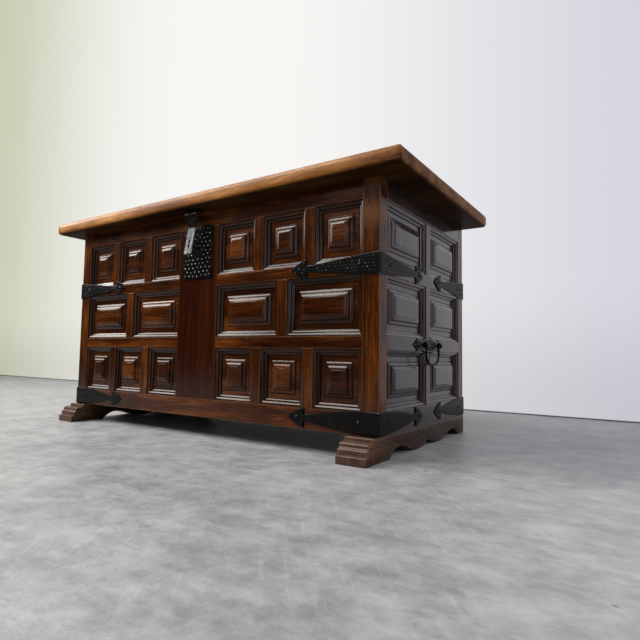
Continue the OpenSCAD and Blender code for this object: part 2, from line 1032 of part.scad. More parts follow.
module upward_nail() {
    translate([0, 0, -upward_head_h])
        cylinder(h = upward_head_h, r1 = nail_head_r * 0.5, r2 = nail_head_r * 0.8);
    cylinder(h = nail_l, r = nail_r);
}

module lid_nail_hole() {
    translate([0, 0, -upward_head_h])
        cylinder(h = nail_l + upward_head_h + 1, r = nail_r + pin_play);
}

module lid_nails() {
    color("black") {
        on_front()
            at_hasp_nails()
                upward_nail();
        on_back()
            at_hinge_nails(lid_low + hinge_nail_drop)
                nail();
    }
}

// Lock

module lock_plate() {
    color("black")
        on_front()
            difference() {
                block([-plate_w / 2, -iron_t, plate_top - plate_h], [plate_w / 2, 0, plate_top]);
                staple_holes();
                at_plate_nails()
                    nail_hole();
            }
}

// The staple from the side, where a padlock would pass along u
module staple_outline(out, leg, half) {
    translate([-iron_t - out + half, 0])
        circle(r = half);
    translate([-iron_t - out + half, -half])
        square([iron_t + out - half + leg, 2 * half]);
}

module staple_solid(out, leg, half, thick) {
    translate([-thick / 2, 0, staple_z])
        rotate([90, 0, 90])
            linear_extrude(thick)
                staple_outline(out, leg, half);
}

module hasp_staple() {
    inner = staple_h / 2 - staple_bar;
    color("dimgray")
        on_front()
            difference() {
                staple_solid(staple_out, staple_leg_l, staple_h / 2, staple_t);
                staple_solid(staple_out - staple_bar, staple_leg_l + 1, inner, staple_t + 1);
            }
}

// The two holes for the staple's legs
module staple_holes() {
    half = staple_h / 2;
    for (side = [-1, 1]) {
        low = side * half - (side > 0 ? staple_bar : 0);
        block([-staple_t / 2 - staple_play, -iron_t - 1, staple_z + low - staple_play],
              [staple_t / 2 + staple_play, staple_leg_l + 1, staple_z + low + staple_bar + staple_play]);
    }
}

hasp_knuckle_w = 16;

// Cylinder along x about the hasp's axis
module on_hasp_axis(x0, x1, r) {
    translate([x0, hasp_axis_y, hasp_axis_z])
        rotate([0, 90, 0])
            cylinder(h = x1 - x0, r = r);
}

module hasp_leaf() {
    half = hasp_top_w / 2;
    inner = hasp_knuckle_w / 2 + knuckle_play;
    color("black")
        difference() {
            union() {
                for (x0 = [-half, inner]) {
                    on_hasp_axis(x0, x0 + half - inner, hasp_knuckle_r);
                    block([x0, hasp_axis_y - 1, hasp_axis_z], [x0 + half - inner, hasp_axis_y + 1, lid_low]);
                    block([x0, hasp_axis_y, lid_low - hasp_leaf_t],
                          [x0 + half - inner, hasp_axis_y + hasp_knuckle_r + 2, lid_low]);
                }
                block([-half, hasp_axis_y + hasp_knuckle_r + 1, lid_low - hasp_leaf_t],
                      [half, front_y - hasp_leaf_end, lid_low]);
            }
            on_hasp_axis(-half - 1, half + 1, hasp_pin_r + pin_play);
            on_front()
                at_hasp_nails()
                    lid_nail_hole();
        }
}

module hasp_pin() {
    color("black") {
        on_hasp_axis(-hasp_top_w / 2 - 1, hasp_top_w / 2 + 1, hasp_pin_r);
    }
}

// Side view of the hasp: y from its axis towards the case, z down from it
hasp_side = [
    [-hasp_t / 2, 0], [hasp_in - hasp_t / 2, -hasp_top_l], [-hasp_lean - hasp_t / 2, -hasp_l],
    [-hasp_lean + hasp_t / 2, -hasp_l], [hasp_in + hasp_t / 2, -hasp_top_l], [hasp_t / 2, 0]
];

module hasp() {
    wide_from = hasp_knuckle_r + 2;
    color("silver")
        difference() {
            union() {
                on_hasp_axis(-hasp_knuckle_w / 2, hasp_knuckle_w / 2, hasp_knuckle_r);
                translate([0, hasp_axis_y, hasp_axis_z])
                    intersection() {
                        rotate([90, 0, 90])
                            translate([0, 0, -hasp_top_w])
                                linear_extrude(2 * hasp_top_w)
                                    polygon(hasp_side);
                        translate([0, hasp_l, 0])
                            rotate([90, 0, 0])
                                linear_extrude(2 * hasp_l)
                                    hasp_outline(wide_from);
                    }
            }
            on_hasp_axis(-hasp_knuckle_w, hasp_knuckle_w, hasp_pin_r + pin_play);
            hasp_slot();
        }
}

// The hasp is wide only just below its knuckles, and its end is a fishtail of two round lobes
module hasp_outline(wide_from) {
    fall_from = wide_from + hasp_head_l;
    narrow_from = fall_from + hasp_head_fall;
    translate([-hasp_knuckle_w / 2, -wide_from - 1])
        square([hasp_knuckle_w, wide_from + 1]);
    polygon([
        [-hasp_top_w / 2, -wide_from], [-hasp_top_w / 2, -fall_from], [-hasp_w / 2, -narrow_from],
        [-hasp_w / 2, -hasp_l + hasp_w / 4], [hasp_w / 2, -hasp_l + hasp_w / 4], [hasp_w / 2, -narrow_from],
        [hasp_top_w / 2, -fall_from], [hasp_top_w / 2, -wide_from]
    ]);
    for (x = [-hasp_w / 4, hasp_w / 4])
        translate([x, -hasp_l + hasp_w / 4])
            circle(r = hasp_w / 4);
}

// A punched slot with square ends through the strap, square to its face
module hasp_slot() {
    translate([0, hasp_axis_y + hasp_y(slot_drop), hasp_axis_z - slot_drop])
        rotate([90 - atan(hasp_bend), 0, 0])
            translate([-slot_w / 2, -slot_l / 2, -hasp_t])
                cube([slot_w, slot_l, 2 * hasp_t]);
}

// Side handles, drawn on a side wall

// A quarter of the plate's outline: the crown in the middle, a waist, an ear and the pointed end
crown_l = 20;
crown_fall = 10;
waist_in = 44;
waist_h = 0.84;
ear_in = 25;
handle_ear_h = 0.76;

function plate_quarter(half, tall) = [
    [crown_l, tall], [crown_l + crown_fall, tall * waist_h], [half - waist_in, tall * handle_ear_h * waist_h],
    [half - ear_in, tall * handle_ear_h]
];

module handle_plate_outline() {
    half = handle_plate_l / 2;
    quarter = plate_quarter(half, handle_plate_h / 2);
    back = [for (k = [len(quarter) - 1 : -1 : 0]) quarter[k]];
    polygon(concat(
        quarter, [[half, 0]],
        [for (p = back) [p[0], -p[1]]],
        [for (p = quarter) [-p[0], -p[1]]], [[-half, 0]],
        [for (p = back) [-p[0], p[1]]]
    ));
}

module at_eyes() {
    for (u = [-eye_gap / 2, eye_gap / 2])
        translate([case_mid_y + u, -handle_plate_t, handle_z])
            children();
}

module eye_hole() {
    block([-eye_shank / 2 - pin_play, -bail_out, -eye_shank / 2 - pin_play],
          [eye_shank / 2 + pin_play, eye_shank_l + 1, eye_shank / 2 + pin_play]);
}

module handle_plate() {
    color("black")
        difference() {
            translate([case_mid_y, 0, handle_z])
                rotate([90, 0, 0])
                    linear_extrude(handle_plate_t)
                        handle_plate_outline();
            at_handle_nails()
                nail_hole();
            at_eyes()
                eye_hole();
        }
}

module handle_eyes() {
    color("black")
        at_eyes()
            difference() {
                union() {
                    translate([-eye_t / 2, -bail_out, 0])
                        rotate([0, 90, 0])
                            cylinder(h = eye_t, r = eye_r);
                    block([-eye_shank / 2, -bail_out, -eye_shank / 2],
                          [eye_shank / 2, eye_shank_l, eye_shank / 2]);
                }
                translate([-eye_t, -bail_out, 0])
                    rotate([0, 90, 0])
                        cylinder(h = 2 * eye_t, r = bail_r + pin_play);
            }
}

// The bail hangs in the plane y = 0 with its axis at z = 0, and its pins turn in the eyes
module bail_shape() {
    arm = eye_gap / 2 - eye_t / 2 - eye_play - bail_r;
    pin_end = eye_gap / 2 + eye_t / 2 + 1;
    for (side = [0, 1])
        mirror([side, 0, 0]) {
            translate([arm, 0, 0]) {
                sphere(r = bail_r);
                rotate([0, 90, 0])
                    cylinder(h = pin_end - arm, r = bail_r);
            }
            translate([arm, 0, -bail_drop + corner_r])
                cylinder(h = bail_drop - corner_r, r = bail_r);
            translate([arm - corner_r, 0, -bail_drop + corner_r])
                rotate([90, 90, 0])
                    rotate_extrude(angle = 90)
                        translate([corner_r, 0])
                            circle(r = bail_r);
        }
    translate([-arm + corner_r, 0, -bail_drop])
        rotate([0, 90, 0])
            cylinder(h = 2 * (arm - corner_r), r = bail_r);
}

module handle_bail() {
    color("black")
        translate([case_mid_y, -handle_plate_t - bail_out, handle_z])
            bail_shape();
}

// Lid hinges, on the back of the chest

module on_hinge_axis(x0, x1, r) {
    translate([x0, -hinge_out, lid_low])
        rotate([0, 90, 0])
            cylinder(h = x1 - x0, r = r);
}

third = hinge_l / 3;

module hinge_case_leaf() {
    difference() {
        union() {
            block([-hinge_l / 2, -leaf_t, case_top - leaf_h],
                  [hinge_l / 2, 0, lid_low - knuckle_r - 2 * knuckle_play]);
            for (x0 = [-hinge_l / 2, third / 2 + knuckle_play]) {
                x1 = x0 + third - knuckle_play;
                block([x0, -leaf_t, case_top - leaf_h], [x1, 0, lid_low - knuckle_r * 0.5]);
                block([x0, -hinge_out, lid_low - knuckle_r], [x1, -knuckle_play, lid_low - knuckle_r * 0.5]);
                on_hinge_axis(x0, x1, knuckle_r);
            }
        }
        on_hinge_axis(-hinge_l, hinge_l, pin_r + pin_play);
    }
}

module hinge_lid_leaf() {
    difference() {
        union() {
            block([-hinge_l / 2, -leaf_t, lid_low + knuckle_r + 2 * knuckle_play],
                  [hinge_l / 2, 0, lid_low + leaf_h]);
            block([-third / 2, -leaf_t, lid_low + knuckle_r * 0.5], [third / 2, 0, lid_low + leaf_h]);
            block([-third / 2, -hinge_out, lid_low + knuckle_r * 0.5],
                  [third / 2, -knuckle_play, lid_low + knuckle_r]);
            on_hinge_axis(-third / 2, third / 2, knuckle_r);
        }
        on_hinge_axis(-hinge_l, hinge_l, pin_r + pin_play);
    }
}

module at_hinges() {
    on_back()
        for (side = [-1, 1])
            translate([side * hinge_x, 0, 0])
                children();
}

module hinge_case_leaves() {
    color("dimgray")
        difference() {
            at_hinges()
                hinge_case_leaf();
            on_back()
                at_hinge_nails(case_top - hinge_nail_drop)
                    nail_hole();
        }
}

module hinge_lid_leaves() {
    color("dimgray")
        difference() {
            at_hinges()
                hinge_lid_leaf();
            on_back()
                at_hinge_nails(lid_low + hinge_nail_drop)
                    nail_hole();
        }
}

module hinge_pins() {
    color("silver")
        at_hinges()
            on_hinge_axis(-hinge_l / 2 - 1, hinge_l / 2 + 1, pin_r);
}

// Nodes

front_post(-1);  // post_front_left
front_post(1);  // post_front_right
back_post(-1);  // post_back_left
back_post(1);  // post_back_right
front_top_rail();
front_mid_rails(1);  // front_upper_rails
front_mid_rails(2);  // front_lower_rails
front_bottom_rail();
front_centre_stile();
front_muntins();
front_panels(0);  // front_panels_top
front_panels(1);  // front_panels_middle
front_panels(2);  // front_panels_bottom
front_mouldings(0);  // front_mouldings_top
front_mouldings(1);  // front_mouldings_middle
front_mouldings(2);  // front_mouldings_bottom
color("saddlebrown") on_left() side_rail(0);  // left_top_rail
color("saddlebrown") on_left() side_rail(1);  // left_upper_rail
color("saddlebrown") on_left() side_rail(2);  // left_lower_rail
color("saddlebrown") on_left() side_rail(3);  // left_bottom_rail
color("saddlebrown") on_left() side_muntins();  // left_muntins
color("brown") on_left() side_panels();  // left_panels
color("peru") on_left() side_mouldings();  // left_mouldings
color("saddlebrown") on_right() side_rail(0);  // right_top_rail
color("saddlebrown") on_right() side_rail(1);  // right_upper_rail
color("saddlebrown") on_right() side_rail(2);  // right_lower_rail
color("saddlebrown") on_right() side_rail(3);  // right_bottom_rail
color("saddlebrown") on_right() side_muntins();  // right_muntins
color("brown") on_right() side_panels();  // right_panels
color("peru") on_right() side_mouldings();  // right_mouldings
back_boards();
floor_boards();
floor_cleats();
foot(-1);  // foot_left
foot(1);  // foot_right
lid_board(0);  // lid_board_front
lid_board(1);  // lid_board_middle
lid_board(2);  // lid_board_back
lid_battens();
corner_straps(strap_z[0], strap_bell[0]);  // corner_straps_upper
corner_straps(strap_z[1], strap_bell[1]);  // corner_straps_lower
case_nails();
lid_nails();
lock_plate();
hasp_staple();
hasp_leaf();
hasp();
hasp_pin();
on_left() handle_plate();  // handle_plate_left
on_right() handle_plate();  // handle_plate_right
on_left() handle_eyes();  // handle_eyes_left
on_right() handle_eyes();  // handle_eyes_right
on_left() handle_bail();  // handle_bail_left
on_right() handle_bail();  // handle_bail_right
hinge_case_leaves();
hinge_lid_leaves();
hinge_pins();
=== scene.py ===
import logging
import math
from dataclasses import dataclass
from enum import Enum
from typing import Callable, Mapping, Sequence, Union

import bmesh
import bpy
import numpy as np
from mathutils import Matrix, Vector


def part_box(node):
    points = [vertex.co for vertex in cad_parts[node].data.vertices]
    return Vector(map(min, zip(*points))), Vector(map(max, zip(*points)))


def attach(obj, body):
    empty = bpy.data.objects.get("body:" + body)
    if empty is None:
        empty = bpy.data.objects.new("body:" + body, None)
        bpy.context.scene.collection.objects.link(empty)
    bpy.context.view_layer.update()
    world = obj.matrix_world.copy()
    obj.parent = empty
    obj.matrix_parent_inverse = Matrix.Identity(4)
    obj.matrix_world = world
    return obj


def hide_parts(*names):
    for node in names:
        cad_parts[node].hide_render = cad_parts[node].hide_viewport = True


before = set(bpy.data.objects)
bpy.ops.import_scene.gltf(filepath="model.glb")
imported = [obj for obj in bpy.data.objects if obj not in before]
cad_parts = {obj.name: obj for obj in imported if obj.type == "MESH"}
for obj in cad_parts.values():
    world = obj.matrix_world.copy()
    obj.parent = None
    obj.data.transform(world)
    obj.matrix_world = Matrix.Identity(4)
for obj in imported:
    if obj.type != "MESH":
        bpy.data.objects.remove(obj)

log = logging.getLogger("chest")

MM = 0.001
Array = np.ndarray
Amount = Union[Array, float]
Corners = tuple[Array, Array]
Pair = tuple[float, float]
Colour = tuple[float, float, float]
Place = tuple[float, float, float]
Opening = tuple[float, float, float, float]


# Reading the frame


def extent(node: str) -> Corners:
    """Lowest and highest corner of one CAD node, in mm."""
    low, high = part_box(node)
    return np.array(low) / MM, np.array(high) / MM


def solids(node: str) -> list[Corners]:
    """Lowest and highest corner of each separate solid of a CAD node.

    Vertices in the same place count as one. Every vertex starts with its own label, and the two
    ends of each triangle's side take the smaller of their labels until none changes.

    Args:
        node: name of the CAD node.

    Returns:
        One pair of corners in mm for each solid, ordered by x, y and z of the lowest corner.
    """
    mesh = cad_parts[node].data
    points = np.empty(len(mesh.vertices) * 3)
    mesh.vertices.foreach_get("co", points)
    points = points.reshape(-1, 3) / MM
    mesh.calc_loop_triangles()
    corners = np.empty(len(mesh.loop_triangles) * 3, int)
    mesh.loop_triangles.foreach_get("vertices", corners)
    _, same = np.unique(points.round(2), axis=0, return_inverse=True)
    sides = same.reshape(-1)[corners].reshape(-1, 3)
    label = np.arange(same.max() + 1)
    while True:
        smallest = label[sides].min(1)
        spread = label.copy()
        for column in range(3):
            np.minimum.at(spread, sides[:, column], smallest)
        spread = spread[spread]
        if (spread == label).all():
            break
        label = spread
    owner = label[same.reshape(-1)]
    found = [(points[owner == one].min(0), points[owner == one].max(0)) for one in np.unique(owner)]
    return sorted(found, key=lambda box: tuple(box[0].round(1)))


class Wall(Enum):
    """The four walls of the case."""

    FRONT = "front"
    BACK = "back"
    RIGHT = "right"
    LEFT = "left"

    @property
    def axis(self) -> int:
        """0 where the wall runs along x, 1 where it runs along y."""
        return int(self in (Wall.RIGHT, Wall.LEFT))


@dataclass(frozen=True)
class Case:
    """Faces of the case, and how a wall's own measures lie in the room."""

    low: Array
    high: Array

    def place(self, wall: Wall, along: Array, depth: Array, height: Array) -> Array:
        """Points of a wall, from x or y along it, depth behind its face and height.

        Args:
            wall: which wall.
            along: x of a point on the front or back, y of a point on an end.
            depth: distance behind the wall's face, negative in front of it.
            height: z of a point.

        Returns:
            The points as rows of x, y and z in mm.
        """
        along, depth, height = np.broadcast_arrays(along, depth, height)
        through = 1 - wall.axis
        low_face = wall in (Wall.FRONT, Wall.LEFT)
        face = self.low[through] + depth if low_face else self.high[through] - depth
        return np.stack((face, along, height) if wall.axis else (along, face, height), -1)

    def measure(self, wall: Wall, box: Corners) -> Opening:
        """Start, end, lowest and highest level of a box along a wall."""
        return box[0][wall.axis], box[1][wall.axis], box[0][2], box[1][2]

    def rings(self, wall: Wall, opening: Opening, inset: Array, depth: Array, steps: int) -> Array:
        """Nested rectangles: the corners of an opening drawn in, and the sides divided evenly.

        Args:
            wall: wall of the opening.
            opening: its start, end, lowest and highest level.
            inset: how far each ring is drawn in, or each point of it.
            depth: depth of each ring.
            steps: divisions of a side.

        Returns:
            Points by ring and place on the ring.
        """
        u0, u1, z0, z1 = opening
        share, low, high = np.arange(steps) / steps, np.zeros(steps), np.ones(steps)
        along = u0 + inset + (u1 - u0 - 2 * inset) * np.concatenate([share, high, 1 - share, low])
        height = z0 + inset + (z1 - z0 - 2 * inset) * np.concatenate([low, share, high, 1 - share])
        return self.place(wall, along, depth, height)


def read_case() -> Case:
    """The case's faces, from the boxes of its corner posts."""
    corners = [extent(f"post_{end}_{side}") for end in ("front", "back") for side in ("left", "right")]
    return Case(np.min([c[0] for c in corners], 0), np.max([c[1] for c in corners], 0))


# Surfaces


def soft_steps(values: Array, seed: int, length: float) -> Array:
    """A slow wander between 0 and 1: the mean of four sine waves of seeded phase and pitch."""
    rng = np.random.default_rng(seed)
    phase = rng.uniform(0, 2 * np.pi, 4)
    pitch = rng.uniform(0.6, 1.9, 4) * 2 * np.pi / length
    return 0.5 + 0.5 * np.sin(values[..., None] * pitch + phase).mean(-1)


def soft_lines(places: Array, *lines: tuple[float, float, float]) -> Array:
    """The sum of soft lines across a face, each given by its strength, its place and its width."""
    return sum(strength * np.exp(-((places - place) / width) ** 2) for strength, place, width in lines)


def cut_at(seed: int) -> Array:
    """Where in its tree a board was cut: a seeded shift of its grain, in mm."""
    return np.random.default_rng(seed).uniform(0, 5000, 3)


def stand(name: str, data: bpy.types.ID) -> bpy.types.Object:
    """A new object in the scene."""
    made = bpy.data.objects.new(name, data)
    bpy.context.scene.collection.objects.link(made)
    return made


def mirrored(*half: float) -> Array:
    """The given values below 0 in turned order, 0 itself, and the values again."""
    return np.array([*(-value for value in reversed(half)), 0.0, *half])


def grid_faces(rows: int, columns: int, round_columns: bool = True) -> Array:
    """Quads between neighbouring points of a grid, its columns closed to a ring or left open."""
    ring = np.arange(columns if round_columns else columns - 1)
    row = np.arange(rows - 1)[:, None] * columns
    near, far = row + ring, row + (ring + 1) % columns
    return np.stack([near, far, far + columns, near + columns], -1).reshape(-1, 4)


class Shape:
    """Gathers closed shells as whole arrays and makes them one mesh.

    Each point has a grain vector, which is its place in its own board in metres, and a state of
    wear, grime_and_shade and tone, where grime_and_shade is end-grain stain and painted shade in
    creases, recesses and under the lid. Both become attributes that the finishes read.
    """

    def __init__(self) -> None:
        """Starts with nothing."""
        self.points: list[Array] = []
        self.grain: list[Array] = []
        self.state: list[Array] = []
        self.faces: list[list[int]] = []
        self.count = 0

    def add(self, points: Array, faces: Array, caps: Sequence[Array], grain: Array, wear: Amount,
            grime_and_shade: Amount, tone: float = 0.5) -> None:
        """Adds one shell.

        Args:
            points: rows of x, y, z in mm.
            faces: rows of four indices.
            caps: index lists of the faces with more sides.
            grain: rows of along, across and depth in mm.
            wear: 1 on a rubbed edge, 0 on sound varnish.
            grime_and_shade: 1 where it is darkened most, by end-grain stain and painted shade, 0 on a clean
                face.
            tone: light or dark of the whole shell, 0 to 1.
        """
        points = points.reshape(-1, 3)
        wear = np.broadcast_to(wear, len(points))
        grime_and_shade = np.broadcast_to(grime_and_shade, len(points))
        self.points.append(points * MM)
        self.grain.append(grain.reshape(-1, 3) * MM)
        self.state.append(np.stack([wear, grime_and_shade, np.full(len(points), tone)], -1))
        self.faces.extend((faces + self.count).tolist())
        self.faces.extend((np.asarray(cap) + self.count).tolist() for cap in caps)
        self.count += len(points)

    def tube(self, points: Array, grain: Array, wear: Amount, grime_and_shade: Amount = 0.0,
             tone: float = 0.5) -> None:
        """Adds a closed tube: rings of points, with a cap on the first and on the last ring.

        Args:
            points: places in mm, by ring and by place on the ring.
            grain: along, across and depth in mm, in the same order.
            wear: wear of each point, or of each ring or of all.
            grime_and_shade: stain and painted shade in the same way.
            tone: light or dark of the whole tube, 0 to 1.
        """
        rings, columns = points.shape[:2]
        caps = [np.arange(columns), (rings - 1) * columns + np.arange(columns)]
        wear, grime_and_shade = (np.broadcast_to(amount, (rings, columns)).ravel() for amount in (wear, grime_and_shade))
        self.add(points, grid_faces(rings, columns), caps, grain, wear, grime_and_shade, tone)

    def build(self, name: str, body: str, slot: str, material: bpy.types.Material,
              nodes: Sequence[str] = (), crease: float = 38.0) -> bpy.types.Object:
        """Makes the object, turns its faces outwards and hangs it on its body.

        Args:
            name: the piece's name.
            body: CAD body it moves with.
            slot: not used. slot of the record it takes its finish from.
            material: its finish.
            nodes: CAD nodes it stands for.
            crease: angle in degrees past which an edge stays sharp.

        Returns:
            The finished piece, with its place in its mesh.
        """
        mesh = bpy.data.meshes.new(name)
        mesh.from_pydata(np.concatenate(self.points).tolist(), [], self.faces)
        for label, rows in (("grain", self.grain), ("state", self.state)):
            values = np.ascontiguousarray(np.concatenate(rows), np.float32)
            mesh.attributes.new(label, "FLOAT_VECTOR", "POINT").data.foreach_set("vector", values.ravel())
        shell = bmesh.new()
        shell.from_mesh(mesh)
        bmesh.ops.recalc_face_normals(shell, faces=shell.faces)
        shell.to_mesh(mesh)
        shell.free()
        mesh.shade_smooth()
        mesh.set_sharp_from_angle(angle=math.radians(crease))
        mesh.materials.append(material)
        piece = stand(name, mesh)
        if nodes:
            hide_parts(*nodes)
        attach(piece, body)
        log.info("%s: %d faces", name, len(mesh.polygons))
        return piece


def soften(section: Sequence[Pair], radius: float) -> tuple[Array, Array, Array]:
    """Rounds the inner corners of an open section.

    Each corner gives way to three points: one a radius before it, one a radius after it, and the
    mean of those two and the corner itself.

    Args:
        section: points as distance in from an opening's edge and depth behind the face.
        radius: how far from a corner its rounding starts, in mm.

    Returns:
        The new points, the wear of each (1 where the corner stands out) and the grime of each
        (1 where it lies in).
    """
    points = np.array(section, float)
    before, corner, after = points[:-2], points[1:-1], points[2:]
    back, ahead = before - corner, after - corner
    back_l = np.linalg.norm(back, axis=1, keepdims=True)
    ahead_l = np.linalg.norm(ahead, axis=1, keepdims=True)
    first = corner + back / back_l * np.minimum(radius, back_l * 0.4)
    last = corner + ahead / ahead_l * np.minimum(radius, ahead_l * 0.4)
    middle = (first + last) / 4 + corner / 2
    out = (-back[:, 0] * ahead[:, 1] + back[:, 1] * ahead[:, 0]) > 0
    rounded = np.stack([first, middle, last], 1).reshape(-1, 2)
    wear = np.repeat(out, 3).astype(float)
    ends = np.zeros(1)
    return (
        np.concatenate([points[:1], rounded, points[-1:]]),
        np.concatenate([ends, wear, ends]),
        np.concatenate([ends, 1 - wear, ends]),
    )


def arc(centre: Pair, radius: float, start: float, end: float, steps: int) -> list[Pair]:
    """Points of an arc about a centre, from one angle in degrees to another."""
    angle = np.radians(np.linspace(start, end, steps + 1))
    return [(centre[0] + radius * math.cos(a), centre[1] + radius * math.sin(a)) for a in angle]


# Shader arithmetic

Number = Union["Term", float]


def operator(operation: str, reflected: bool = False) -> Callable[["Term", Number], "Term"]:
    """An operator of Term that adds one Math node, with the term first or, reflected, second."""
    def apply(term: "Term", other: Number) -> "Term":
        """Adds the node."""
        return term.math(operation, other, term) if reflected else term.math(operation, term, other)
    return apply


class Term:
    """A number socket of a finish, which adds Math nodes when it is calculated with."""

    __add__, __radd__ = operator("ADD"), operator("ADD", reflected=True)
    __sub__, __rsub__ = operator("SUBTRACT"), operator("SUBTRACT", reflected=True)
    __mul__, __rmul__ = operator("MULTIPLY"), operator("MULTIPLY", reflected=True)

    def __init__(self, tree: "Tree", socket: bpy.types.NodeSocket) -> None:
        """Wraps one output socket of a tree."""
        self.tree = tree
        self.socket = socket

    def math(self, operation: str, first: Number, second: Number, clamp: bool = False) -> "Term":
        """One Math node on two numbers."""
        made = self.tree.node("ShaderNodeMath", {"operation": operation, "use_clamp": clamp},
                              {0: first, 1: second})
        return Term(self.tree, made.outputs[0])

    def clamped(self) -> "Term":
        """The number held between 0 and 1."""
        return self.math("ADD", self, 0.0, clamp=True)

    def larger(self, other: Number) -> "Term":
        """The larger of two numbers."""
        return self.math("MAXIMUM", self, other)

    def rise(self, low: float, high: float, start: float = 0.0, end: float = 1.0) -> "Term":
        """A smooth rise, from the start value at low to the end value at high."""
        sockets = {"Value": self, "From Min": low, "From Max": high, "To Min": start, "To Max": end}
        made = self.tree.node("ShaderNodeMapRange", {"interpolation_type": "SMOOTHSTEP"}, sockets)
        return Term(self.tree, made.outputs["Result"])


class Tree:
    """The nodes of one material, or of the world."""

    def __init__(self, owner: Union[bpy.types.Material, bpy.types.World],
                 shader: str = "Principled BSDF") -> None:
        """Takes over the nodes of a new material or world, and finds the shader that it starts with."""
        owner.use_nodes = True
        self.owner = owner
        self.nodes = owner.node_tree.nodes
        self.links = owner.node_tree.links
        self.shader = self.nodes[shader]

    def feed(self, socket: bpy.types.NodeSocket, value: object) -> None:
        """Links a term or a socket, or sets a plain value."""
        if isinstance(value, Term):
            value = value.socket
        if isinstance(value, bpy.types.NodeSocket):
            self.links.new(value, socket)
        else:
            socket.default_value = value

    def node(self, kind: str, settings: Mapping[str, object],
             sockets: Mapping[object, object]) -> bpy.types.Node:
        """Adds a node: first its settings, then the values or links of its sockets.

        Args:
            kind: Blender's name of the node's type.
            settings: properties of the node.
            sockets: values or links by the socket's name or number.

        Returns:
            The node.
        """
        made = self.nodes.new(kind)
        for name, value in settings.items():
            setattr(made, name, value)
        for name, value in sockets.items():
            self.feed(made.inputs[name], value)
        return made

    def attribute(self, name: str) -> bpy.types.NodeSocket:
        """The vector of one of a mesh's attributes."""
        return self.node("ShaderNodeAttribute", {"attribute_name": name}, {}).outputs["Vector"]

    def place(self, kind: str = "Object") -> bpy.types.NodeSocket:
        """Coordinates of one kind, by default the object's own in metres."""
        return self.node("ShaderNodeTexCoord", {}, {}).outputs[kind]

    def parts(self, vector: bpy.types.NodeSocket) -> tuple[Term, Term, Term]:
        """The three numbers of a vector."""
        split = self.node("ShaderNodeSeparateXYZ", {}, {"Vector": vector})
        return tuple(Term(self, split.outputs[axis]) for axis in "XYZ")

    def vector(self, operation: str, first: object, second: object, third: object = (0, 0, 0)
               ) -> bpy.types.NodeSocket:
        """One Vector Math node."""
        return self.node("ShaderNodeVectorMath", {"operation": operation},
                         {0: first, 1: second, 2: third}).outputs[0]

    def noise(self, vector: object, detail: float, roughness: float, scale: float = 1.0) -> Term:
        """Noise between about 0 and 1, read at a vector."""
        made = self.node("ShaderNodeTexNoise", {},
                         {"Vector": vector, "Scale": scale, "Detail": detail, "Roughness": roughness})
        return Term(self, made.outputs[0])

    def streaks(self, grain: object, along: float, across: float, detail: float,
                roughness: float = 0.55) -> Term:
        """Noise drawn out along the grain, from its pitch along and across it."""
        return self.noise(self.vector("MULTIPLY", grain, (along, across, across)), detail, roughness)

    def mix(self, factor: Number, first: object, second: object) -> bpy.types.NodeSocket:
        """A colour between two colours."""
        return self.node("ShaderNodeMix", {"data_type": "RGBA"}, {0: factor, 6: first, 7: second}).outputs[2]

    def bump(self, height: Term, distance: float) -> bpy.types.NodeSocket:
        """A normal that follows a height, in metres for a height of 1."""
        return self.node("ShaderNodeBump", {}, {"Height": height, "Distance": distance}).outputs["Normal"]

    def surface(self, colour: object, roughness: Term, height: Term, distance: float) -> None:
        """Feeds the shader its colour, its roughness and the relief of a height."""
        self.feed(self.shader.inputs["Base Color"], colour)
        self.feed(self.shader.inputs["Roughness"], roughness.clamped())
        self.feed(self.shader.inputs["Normal"], self.bump(height, distance))

    def constants(self, **values: object) -> None:
        """Sets plain values of the shader, each by its socket's name with _ for a space."""
        for name, value in values.items():
            self.shader.inputs[name.replace("_", " ")].default_value = value


def shade(*levels: float) -> tuple[float, ...]:
    """A colour with full alpha."""
    return (*levels, 1.0)


